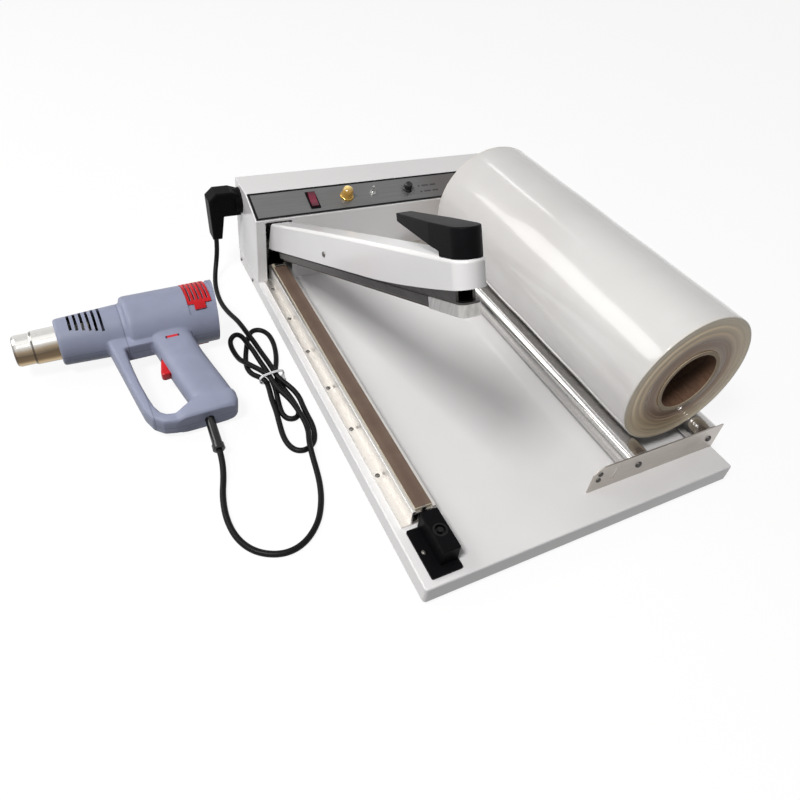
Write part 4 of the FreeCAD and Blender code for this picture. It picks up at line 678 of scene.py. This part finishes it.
finishes = {
    "whitePaint": paintFinish(),
    "panel": panelFinish(),
    "black": blackFinish("blackPlastic", tone(12, 11, 13), 0.44, shine=0.05),
    "gloss": blackFinish("glossBlack", tone(10, 10, 11), 0.18, 900, 0.08, 0.3, 0.4),
    "cord": blackFinish("cordBlack", tone(12, 11, 13), 0.42, 1400, 0.25, 0.0, 0.16),
    "red": redFinish(),
    "rocker": rockerFinish(),
    "amber": amberFinish(),
    "brass": metalFinish("brass", tone(206, 170, 96), 0.26, (300, 300, 300)),
    "nozzle": nozzleFinish(),
    "chrome": metalFinish("chrome", tone(228, 227, 225), 0.10, (500, 500, 500), 0.03),
    "steel": metalFinish("steel", tone(158, 156, 152), 0.28, (260, 260, 30)),
    "bracket": metalFinish("bracketZinc", tone(196, 190, 184), 0.40, (30, 700, 700), 0.12,
                           tone(170, 164, 156), 0.9),
    "darkSteel": metalFinish("darkSteel", tone(84, 82, 80), 0.36, (300, 300, 60)),
    "screw": metalFinish("screwZinc", tone(104, 101, 98), 0.34, (260, 260, 260)),
    "plate": metalFinish("plateSteel", tone(202, 200, 197), 0.42, (260, 260, 30)),
    "channel": metalFinish("channelSteel", tone(88, 86, 84), 0.42, (300, 30, 300)),
    "magnet": metalFinish("magnetSteel", tone(48, 47, 47), 0.42, (400, 400, 400)),
    "bed": metalFinish("bedAluminium", tone(229, 226, 222), 0.42, (900, 12, 900), 0.06,
                       tone(220, 214, 208), 0.94),
    "roller": metalFinish("rollerSteel", tone(208, 206, 204), 0.12, (260, 900, 260), 0.04),
    "cloth": ptfeFinish(),
    "insulator": plainFinish("insulator", tone(186, 176, 158), 0.7),
    "silicone": plainFinish("silicone", tone(84, 70, 64), 0.55, 500),
    "rubber": blackFinish("rubber", tone(24, 24, 24), 0.65, 700, 0.5),
    "film": filmFinish(),
    "card": cardboardFinish(),
    "gun": gunFinish(),
    "ceramic": plainFinish("ceramic", tone(226, 220, 204), 0.6, 1200),
    "iron": plainFinish("iron", tone(74, 72, 70), 0.5, 1600, 0.3, 0.8),
    "board": plainFinish("board", tone(38, 92, 60), 0.4, 700),
    "tie": plainFinish("tieWhite", tone(214, 214, 218), 0.4, 500)}

wearing = {
    "whitePaint": ["base_tray", "control_box_housing", "arm_cover"],
    "panel": ["control_panel"], "gloss": ["timer_knob"], "rocker": ["rocker_button"],
    "black": ["rocker_switch_body", "outlet_socket", "mains_gland", "magnet_block", "arm_handle",
              "power_plug", "gun_motor", "timer_potentiometer"],
    "amber": ["pilot_lamp_lens"], "brass": ["pilot_lamp_body"], "nozzle": ["gun_nozzle"],
    "chrome": ["toggle_lever", "toggle_switch_body"],
    "steel": ["roller_axles", "left_roller_bushes", "right_roller_bushes", "pivot_shaft",
              "pivot_bushes", "return_spring", "wire_clamps", "heating_wire"],
    "plate": ["armature_plate"], "roller": ["left_roller", "right_roller"],
    "bracket": ["roller_brackets"], "darkSteel": ["pivot_bracket"],
    "channel": ["arm_channel", "arm_thin_plate", "pressure_bar"],
    "magnet": ["holding_magnet"], "bed": ["seal_bed"], "cloth": ["teflon_strip"],
    "insulator": ["heater_insulator", "gun_impeller"], "silicone": ["silicone_strip"],
    "rubber": ["rubber_feet"], "card": ["film_core"], "ceramic": ["gun_heater"],
    "iron": ["transformer"], "board": ["timer_board"]}
for finish, nodes in wearing.items():
    for node in nodes:
        for slot in frame["nodes"][node].material_slots:
            slot.link = "OBJECT"
            slot.material = finishes[finish]
print("CAD nodes dressed")


# Cord from the gun's grip to the plug, with its tied hank. A point without a height of its own is
# at the height of a cord that lies on the bench
cordRoute = {
    "gunEnd": [
        (-54.5, -224.6), (-55.6, -238)],
    "toHank": [
        (-137, 224, -0.8), (-145, 199), (-149, 168), (-145, 139), (-131, 117), (-107, 105), (-83, 109),
        (-61, 128), (-48, 153), (-41, 176), (-37.5, 196)],
    "hank": [
        (-36, 212, 0.5), (-34.5, 226, 4.6), (-31, 241, 4.4), (-26, 256, -0.5), (-24.5, 272, 0.5),
        (-28, 294, 5.4), (-31, 312, 5.2), (-37, 330, 4.9), (-40, 346, 4.8), (-41.5, 362, 4.6),
        (-49, 377, 4.4), (-57, 388, 4.8), (-64, 399, 4.6), (-67.5, 413, -1.5), (-70, 434), (-69.5, 449),
        (-66.5, 458, -1.5), (-60.5, 461.5, 1.5), (-55, 457.5, 4.0), (-51.5, 448, 4.8), (-50, 436, 4.8),
        (-46.5, 420, 4.3), (-42.5, 400, -2.0), (-39.5, 380), (-38.5, 360), (-39.5, 341), (-43, 322),
        (-45.5, 304), (-45.2, 294), (-42, 286.5), (-35, 283.5), (-28.3, 286.5), (-25, 294), (-25, 305),
        (-26.5, 322), (-30.5, 344, -2.45), (-31.5, 359, -2.45), (-29, 377), (-22, 393), (-16, 415),
        (-13, 438), (-15, 457), (-24, 468), (-35, 467, -2.2), (-44, 454), (-51, 435), (-58, 415),
        (-62.5, 395), (-60, 380), (-52, 371), (-46, 361), (-47, 345), (-50, 325), (-51, 303),
        (-54, 282), (-56.5, 260), (-55, 244), (-49, 233), (-38, 230), (-26, 237), (-19.5, 251),
        (-17, 268), (-17.5, 285), (-17, 301), (-16, 317, -2.2), (-19.5, 331, 0.5), (-28, 345, 4.8),
        (-33, 359, 4.6), (-33, 376, 3.6), (-33.5, 396, 0.0), (-36, 418, -1.0), (-40, 440, 3.0),
        (-44, 458, 5.0), (-46, 474, 5.0)],
    "toPlug": [
        (-48.5, 494, 2.5), (-53, 515, -1.0), (-57, 540), (-57, 566, -2.3), (-54, 592, 0), (-48, 613, 8),
        (-41.5, 625, 25), (-38.75, 628, 44), (-38.75, 628, 62)],
    "low": -2.4, "radius": 0.0035, "length": 1.669}


def makeCord():
    points = [onGun(*p) for p in cordRoute["gunEnd"]]
    for part in ("toHank", "hank", "toPlug"):
        points += [onTray(*(*p, cordRoute["low"])[:3]) for p in cordRoute[part]]
    curve = bpy.data.curves.new("powerCord", "CURVE")
    curve.dimensions = "3D"
    curve.bevel_depth = cordRoute["radius"]
    curve.bevel_resolution = 4
    curve.resolution_u = 8
    curve.use_fill_caps = True
    spline = curve.splines.new("NURBS")
    spline.points.add(len(points) - 1)
    for point, place in zip(spline.points, points):
        point.co = (*place, 1)
    spline.order_u = 3
    spline.use_endpoint_u = True
    cord = shown("powerCord", curve)
    curve.materials.append(finishes["cord"])
    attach(cord, "machine")
    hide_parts("cord_to_hank", "cord_hank", "cord_to_gun")
    return cord, points[0]


# Wire tie round the hank's waist, its ends twisted together
tie = {
    "y": 361.5, "lean": 2.5, "middle": (-38.2, 2.3), "half": (16.6, 7.1), "power": 2.9, "wire": 1.0,
    "beside": 0.95, "twist": 6.0, "twistTurns": 2, "twistRadius": 0.7, "tailPlace": (-1.0, -1.0, -2.2),
    "tailFall": 1.2, "tailWire": 0.8}


def makeTie():
    cx, cz = tie["middle"]
    hx, hz = tie["half"]
    tx, ty, tz = tie["tailPlace"]
    bend = tie["twistRadius"]

    def build(shape):
        loop = oval(Vector((cx, 0, cz)), right, up, hx, hz, tie["power"], 56)
        for beside in (-tie["beside"], tie["beside"]):  # two turns of the wire lie side by side
            tubeAlong(shape, [onTray(p.x, tie["y"] + beside + tie["lean"] * (p.x - cx) / hx, p.z)
                              for p in loop], tie["wire"] / 1000, closed=True)
        for turn in (0, math.pi):
            tail = []
            for k in range(21):
                t = k / 20
                a = turn + t * tie["twistTurns"] * 2 * math.pi
                tail.append(onTray(cx + hx + tx + bend * math.cos(a), tie["y"] + ty - t * tie["twist"],
                                   cz + tz - tie["tailFall"] * t + bend * math.sin(a)))
            tubeAlong(shape, tail, tie["wire"] / 1000 * tie["tailWire"], sides=8)

    return addPiece("hankTie", meshFrom(build, "hankTie"), "machine", finishes["tie"],
                    ["hank_tie"])


# Screws: one head with a cross recess, set on every seat by Geometry Nodes, sized in head radii
screw = {"sizes": {"Dome": 0.60, "Recess length": 1.15, "Recess width": 0.24, "Recess depth": 0.30,
                   "Shank radius": 0.45, "Shank length": 1.2},
         "segments": 28, "rings": 14, "sides": 16, "turn": 0.7}
machineSeats = ([((14, 145 + 75 * k, 24.5), up, 2.8) for k in range(6)]
                + [((17, 38, 24.5), up, 3.2)]
                + [((x, y, 23.5), up, 3.2) for x in (334.06, 375.54) for y in (44.5, 525)]
                + [((0, y, 7), left, 2.8) for y in (577, 638)]
                + [((430, y, 7), right, 2.8) for y in (577, 638)])
footSeats = [((x, y, -2.6), down, 3.4) for x in (16, 414) for y in (16, 634)]
axleSeats = ([((x, 36, 42.5), front, 4.6) for x in (297.2, 412.4)]
             + [((x, 532, 42.5), back, 4.6) for x in (297.2, 412.4)]
             + [((237, 36, z), front, 3.4) for z in (41, 51)])
armSeats = ([((19, 306.8, 74), left, 3.4), ((47, 306.8, 74), right, 3.4)]
            + [((x, 28.8, 81.5), down, 2.9) for x in (29.6, 36.4)])
springPin = {"x": (24, 42), "y": 608.8, "z": 66, "radius": 0.002}


def screwSteps():
    steps = Steps("crossHeadScrews", [(label, "Float") for label in screw["sizes"]]
                  + [("Finish", "Material")])
    dome, long, wide, deep, shankRadius, shankLong = (steps.given(label) for label in screw["sizes"])
    ball = steps.add("GeometryNodeMeshUVSphere",
                     values={"Segments": screw["segments"], "Rings": screw["rings"]})
    head = steps.moved(ball, size=steps.combine(1.0, 1.0, dome))
    cross = [steps.add("GeometryNodeMeshCube", values={"Size": steps.combine(a, b, 1.0)})
             for a, b in ((long, wide), (wide, long))]
    recess = steps.moved(steps.joined(*cross), steps.combine(0.0, 0.0, dome + 0.5 - deep))
    cut = steps.add("GeometryNodeMeshBoolean", {"operation": "DIFFERENCE"},
                    {"Mesh 1": head, "Mesh 2": [recess]})
    shank = steps.add("GeometryNodeMeshCylinder",
                      values={"Vertices": screw["sides"], "Radius": shankRadius, "Depth": shankLong})
    whole = steps.joined(cut, steps.moved(shank, steps.combine(0.0, 0.0, shankLong * -0.5)))
    turn = steps.add("GeometryNodeInputNamedAttribute", {"data_type": "FLOAT_VECTOR"}, {"Name": "turn"})
    size = steps.add("GeometryNodeInputNamedAttribute", {"data_type": "FLOAT"}, {"Name": "headRadius"})
    placed = steps.add("GeometryNodeInstanceOnPoints",
                       values={"Points": steps.given("Geometry"), "Instance": whole, "Scale": size,
                               "Rotation": steps.add("FunctionNodeEulerToRotation", values={0: turn})})
    steps.close(placed, steps.given("Finish"))
    return steps


def makeScrews(steps, name, seats, place, turned, body, node, finish):
    mesh = bpy.data.meshes.new(name + "Seats")
    mesh.from_pydata([place(*seat) for seat, direction, radius in seats], [], [])
    mesh.attributes.new("turn", "FLOAT_VECTOR", "POINT")
    mesh.attributes.new("headRadius", "FLOAT", "POINT")
    turns, sizes = (mesh.attributes[label].data for label in ("turn", "headRadius"))
    for index, (seat, direction, radius) in enumerate(seats):
        spun = Matrix.Rotation(index * screw["turn"], 4, "Z")  # each recess lies at its own angle
        tilt = direction.to_track_quat("Z", "Y").to_matrix().to_4x4()
        turns[index].vector = (turned @ tilt @ spun).to_euler()
        sizes[index].value = radius / 1000
    source = shown(name + "Seats", mesh)
    made = steps.run(source, {**screw["sizes"], "Finish": finishes[finish]})
    discard(source)
    addPiece(name, made, body, None, [node], 40)


def pinForm(shape):
    ends = [onArm(x, springPin["y"], springPin["z"]) for x in springPin["x"]]
    tubeAlong(shape, ends, springPin["radius"])


screwTree = screwSteps()
still = Matrix.Identity(4)
makeScrews(screwTree, "panScrews", machineSeats + footSeats, onTray, still, "machine", "pan_screws",
           "screw")
makeScrews(screwTree, "axleScrews", axleSeats, onTray, still, "machine", "axle_screws", "darkSteel")
makeScrews(screwTree, "armScrews", armSeats, onArm, armTurn, "arm", "arm_screws", "screw")
addPiece("springPin", meshFrom(pinForm, "springPin"), "arm", finishes["steel"])
print("screws set")


# Film roll, wound a little unevenly; each wave has its turns, its pace along the roll, a start and a share
roll = {
    "around": 224, "along": 60, "rings": 46, "edge": 0.0022, "inset": 0.0010, "shoulder": 0.004,
    "wander": 0.000405, "keep": 0.86, "swell": 0.0005, "seed": 7,
    "waves": ((3, 9, 0.0, 0.3), (2, -31, 0.0, 0.25), (0, 52, 1.3, 0.45))}


def makeRoll():
    low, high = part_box("film_roll")
    cx, cz = (low.x + high.x) / 2, (low.z + high.z) / 2
    outer = (high.x - low.x) / 2 - 0.0004
    edge, bore = roll["edge"], filmEnd["bore"]
    pick = random.Random(roll["seed"])

    def endFace():
        steps, offset = [], 0.0
        for k in range(roll["rings"]):
            offset = offset * roll["keep"] + pick.uniform(-1, 1) * roll["wander"]
            steps.append((bore + (outer - edge - bore) * k / (roll["rings"] - 1),
                          roll["inset"] + abs(offset)))
        return steps

    def swell(a, y):
        waves = sum(share * math.sin(turns * a + pace * y + start)
                    for turns, pace, start, share in roll["waves"])
        return roll["swell"] * (waves - 1)

    def build(shape):
        corner = [(outer - edge * (1 - math.sin(a)), roll["inset"] + edge * (1 - math.cos(a)))
                  for a in (k * math.pi / 12 for k in range(1, 7))]
        start, long = low.y + roll["shoulder"], high.y - low.y - 2 * roll["shoulder"]
        profile = [(r, low.y + inset) for r, inset in endFace() + corner]
        profile += [(outer, start + long * k / roll["along"]) for k in range(1, roll["along"])]
        profile += [(r, high.y - inset) for r, inset in reversed(endFace() + corner)]
        rings = []
        for r, y in profile:
            ring = []
            for a in around(roll["around"]):
                out = r + (swell(a, y) if r > outer - roll["swell"] else 0.0)
                ring.append((cx + out * math.cos(a), y, cz + out * math.sin(a)))
            rings.append(ring)
        loft(shape, rings, closed=True)

    addPiece("filmRoll", meshFrom(build, "filmRoll"), "film", finishes["film"], ["film_roll"])


makeRoll()
print("film roll wound")


# Gun housing: plain closed forms joined by a voxel remesh, then hollowed and slotted
gun = {
    "barrel": [
        (-184, 26.2), (-183.1, 28.4), (-180.8, 29.3), (-111.2, 32.8), (-110.6, 32.2), (-109.4, 32.2),
        (-108.8, 33.0), (-105.6, 33.4), (-105.0, 36.5), (-104.2, 39.2), (-101.8, 40.6), (-99, 41),
        (19, 41)],
    "inside": [(-186, 21.4), (-164, 21.4), (-162, 26.7), (-108, 30.4), (-97, 38.4), (1, 38.4)],
    "grip": [
        (-104, -12, -16, 27), (-94, -22, -24, 22), (-87.5, -28.5, -32, 18.8), (-83.5, -31.2, -42, 17.4),
        (-80.5, -30.3, -56, 17), (-78, -28, -75, 17), (-73.5, -22.5, -105, 17), (-69, -17.5, -130, 17),
        (-65, -14, -150, 17), (-64, -13, -160, 17)],
    "butt": [
        (-66, -13, -152, 16), (-76, -12.2, -158, 17), (-89, -12.6, -166, 17), (-89, -15.5, -174, 16.4),
        (-88, -18.5, -177.6, 14)],
    "guard": [
        (-123, -14, 9.5), (-122.6, -36, 9.2), (-121.2, -60, 7.6), (-119.3, -84, 6.6), (-117, -108, 6.1),
        (-114.3, -130, 6.2), (-111.7, -147, 6.6), (-106.5, -160.5, 7.0), (-98.5, -167.8, 7.3),
        (-88, -170.4, 7.5), (-76, -170.4, 7.8), (-62, -170, 8)],
    "guardHalf": 13.0, "web": (-122, -75, -46, -18, -13, 13), "rear": 15.0, "rearLean": 10.0,
    "radius": 41.0, "rearRoom": (30, 90, 60), "voxel": 1.2, "soften": 5,
    "slots": [-167 + 7 * k for k in range(6)], "slotHalf": 1.6, "slotTop": 22.0,
    "slotLow": (-12.0, -1.8), "slotHigh": (14, 40), "shutter": (-28.4, 1.6, 39.6, 41.4, 118.0),
    "shutterRoom": (0.4, 5.4, 0.3, 18.0, 60), "shutterTab": (-21.0, -7.0, 42.4, 11.0),
    "windows": [-24.0 + 5.4 * k for k in range(5)], "windowAngles": (81, 279), "windowSweep": (58, 60),
    "windowWide": (1.2, 2.0), "windowReach": (30, 50), "triggerSlot": (-92, -66, -101, -70, -6.3, 6.3),
    "triggerHalf": 5.9, "triggerEdge": 1.4,
    "trigger": [
        (-79.5, -74), (-77, -71.5), (-62, -71.5), (-62, -97), (-81, -98.5), (-84, -97), (-84.5, -93)],
    "relief": [(-4, 4.6), (0, 4.6), (0, 6.6), (3, 5.6), (41, 6.0), (42, 7.2), (48.5, 7.2), (50, 5.6)],
    "reliefPlace": (-51, -175, 0), "reliefLean": 4.0, "screwIn": 2.3, "screwHole": (3.4, 2.5),
    "screws": [(-119, -90, 13), (-100.5, -165, 13), (-40, -166, 17), (-121.4, -56, 13)]}


def wedge(shape, x0, x1, r0, r1, start, sweep, parts):  # part of a ring about the barrel's axis, from +Y
    angles = [math.radians(start + sweep * k / parts) for k in range(parts + 1)]
    corners = ((x0, r0), (x1, r0), (x1, r1), (x0, r1))
    loft(shape, [[(x, r * math.cos(a), r * math.sin(a)) for x, r in corners] for a in angles])


def upright(sections, power):  # ovals that lie across the gun's grip
    return [oval(Vector(((x0 + x1) / 2, y, 0)), right, up, (x1 - x0) / 2, half, power)
            for x0, x1, y, half in sections]


def guardSections():
    route = gun["guard"]
    sections = []
    for k, (x, y, half) in enumerate(route):
        before, after = route[max(k - 1, 0)], route[min(k + 1, len(route) - 1)]
        along = Vector((after[0] - before[0], after[1] - before[1], 0)).normalized()
        beside = Vector((-along.y, along.x, 0))
        sections.append(oval(Vector((x, y, 0)), beside, up, half, gun["guardHalf"], 4.2))
    return sections


def gunForms(shape):
    lathe(shape, gun["barrel"])
    loft(shape, upright(gun["grip"], 3.0))
    loft(shape, upright(gun["butt"], 4.5))
    loft(shape, guardSections())
    block(shape, *gun["web"])


def leanCut(shape):  # what lies behind the housing's leaning rear face
    beyond, end, half = gun["rearRoom"]
    side = gun["radius"] + beyond
    more = gun["rearLean"] / (2 * gun["radius"]) * beyond
    corners = [(gun["rear"] + more, side), (end, side), (end, -side),
               (gun["rear"] - gun["rearLean"] - more, -side)]
    loft(shape, [[(x, y, z) for x, y in corners] for z in (-half, half)])


def insideCut(shape):
    lathe(shape, gun["inside"], 64)


def slotCut(shape):
    half, top = gun["slotHalf"], gun["slotTop"]
    low, fall = gun["slotLow"]
    z0, z1 = gun["slotHigh"]
    for k, x in enumerate(gun["slots"]):
        block(shape, x - half, x + half, low + fall * k, top, z0, z1)
        block(shape, x - half, x + half, low + fall * k, top, -z1, -z0)


def windowCut(shape, size=0):
    wide, sweep = gun["windowWide"][size], gun["windowSweep"][size]
    for x in gun["windows"]:
        for angle in gun["windowAngles"]:
            wedge(shape, x - wide / 2, x + wide / 2, *gun["windowReach"], angle - sweep / 2, sweep, 16)


def wideWindowCut(shape):
    windowCut(shape, 1)


def recessCut(shape):
    x0, x1, r0, r1, half = gun["shutter"]
    before, after, under, beside, top = gun["shutterRoom"]
    wedge(shape, x0 - before, x1 + after, r0 - under, top, -half - beside, 2 * (half + beside), 64)


def shutterForm(shape):
    x0, x1, r0, r1, half = gun["shutter"]
    wedge(shape, x0, x1, r0, r1, -half, 2 * half, 72)


def shutterTabs(shape):
    x0, x1, high, sweep = gun["shutterTab"]
    half = gun["shutter"][4]
    for start in (half, -half - sweep):
        wedge(shape, x0, x1, gun["shutter"][2], high, start, sweep, 8)


def triggerCut(shape):
    block(shape, *gun["triggerSlot"])


def triggerForm(shape):
    half = gun["triggerHalf"]
    loft(shape, [[(x, y, z) for x, y in gun["trigger"]] for z in (-half, half)])


def reliefForm(shape):
    lathe(shape, gun["relief"], 40)


def screwCut(shape):
    radius, deep = gun["screwHole"]
    for x, y, half in gun["screws"]:
        loft(shape, [[(x + radius * math.cos(a), y + radius * math.sin(a), z) for a in around(24)]
                     for z in (-60, -half + deep)])


def shaped(name, builder, steps=(), cuts=()):  # the mesh of a form after modifiers, with others cut out
    form = shown(name, meshFrom(builder, name))
    cutters = [shown("cutter", meshFrom(cut, "cutter")) for cut in cuts]
    cutting = [("BOOLEAN", {"operation": "DIFFERENCE", "solver": "EXACT", "object": cutter})
               for cutter in cutters]
    for kind, settings in [*steps, *cutting]:
        step = form.modifiers.new(kind, kind)
        for key, value in settings.items():
            setattr(step, key, value)
    mesh = applied(form)
    discard(form, *cutters)
    return mesh


def placeOnGun(name, mesh, body, finish, replaces, sharp, local=Matrix.Identity(4)):
    mesh.transform(Matrix.Translation(onTray(*gunPlace)) @ gunTurn @ Matrix.Scale(0.001, 4) @ local)
    return addPiece(name, mesh, body, finishes[finish], replaces, sharp)


def makeGun():
    housing = shaped("gunForms", gunForms,
                     [("REMESH", {"mode": "VOXEL", "voxel_size": gun["voxel"]}),
                      ("SMOOTH", {"factor": 0.5, "iterations": gun["soften"]})],
                     [leanCut, insideCut, slotCut, recessCut, windowCut, triggerCut, screwCut])
    placeOnGun("gunHousing", housing, "machine", "gun",
               ["gun_left_shell", "gun_right_shell"], 38)
    ring = shaped("shutterRing", shutterForm, cuts=[wideWindowCut])

    def shutterWithTabs(shape):
        shape.from_mesh(ring)
        shutterTabs(shape)

    placeOnGun("gunShutter", meshFrom(shutterWithTabs, "gunShutter"), "shutter", "red",
               ["gun_air_shutter"], 30)
    edges = ("BEVEL", {"width": gun["triggerEdge"], "segments": 3, "limit_method": "ANGLE"})
    placeOnGun("gunTrigger", shaped("triggerForm", triggerForm, [edges]), "trigger",
               "red", ["gun_trigger"], 30)
    lean = Matrix.Rotation(math.radians(-90 - gun["reliefLean"]), 4, "Z")
    relief = placeOnGun("gunRelief", meshFrom(reliefForm, "gunRelief"), "machine", "gloss",
                        ["gun_strain_relief"], 35, Matrix.Translation(gun["reliefPlace"]) @ lean)
    print("gun housing:", len(housing.polygons), "faces")
    return relief


relief = makeGun()
gunSeats = [((x, y, gun["screwIn"] - half), down, 3.0) for x, y, half in gun["screws"]]
makeScrews(screwTree, "gunScrews", gunSeats, onGun, gunTurn, "machine", "gun_screws", "screw")
cord, cordExit = makeCord()
tiePiece = makeTie()
tuple(cordExit)
print("cord and its tie made")
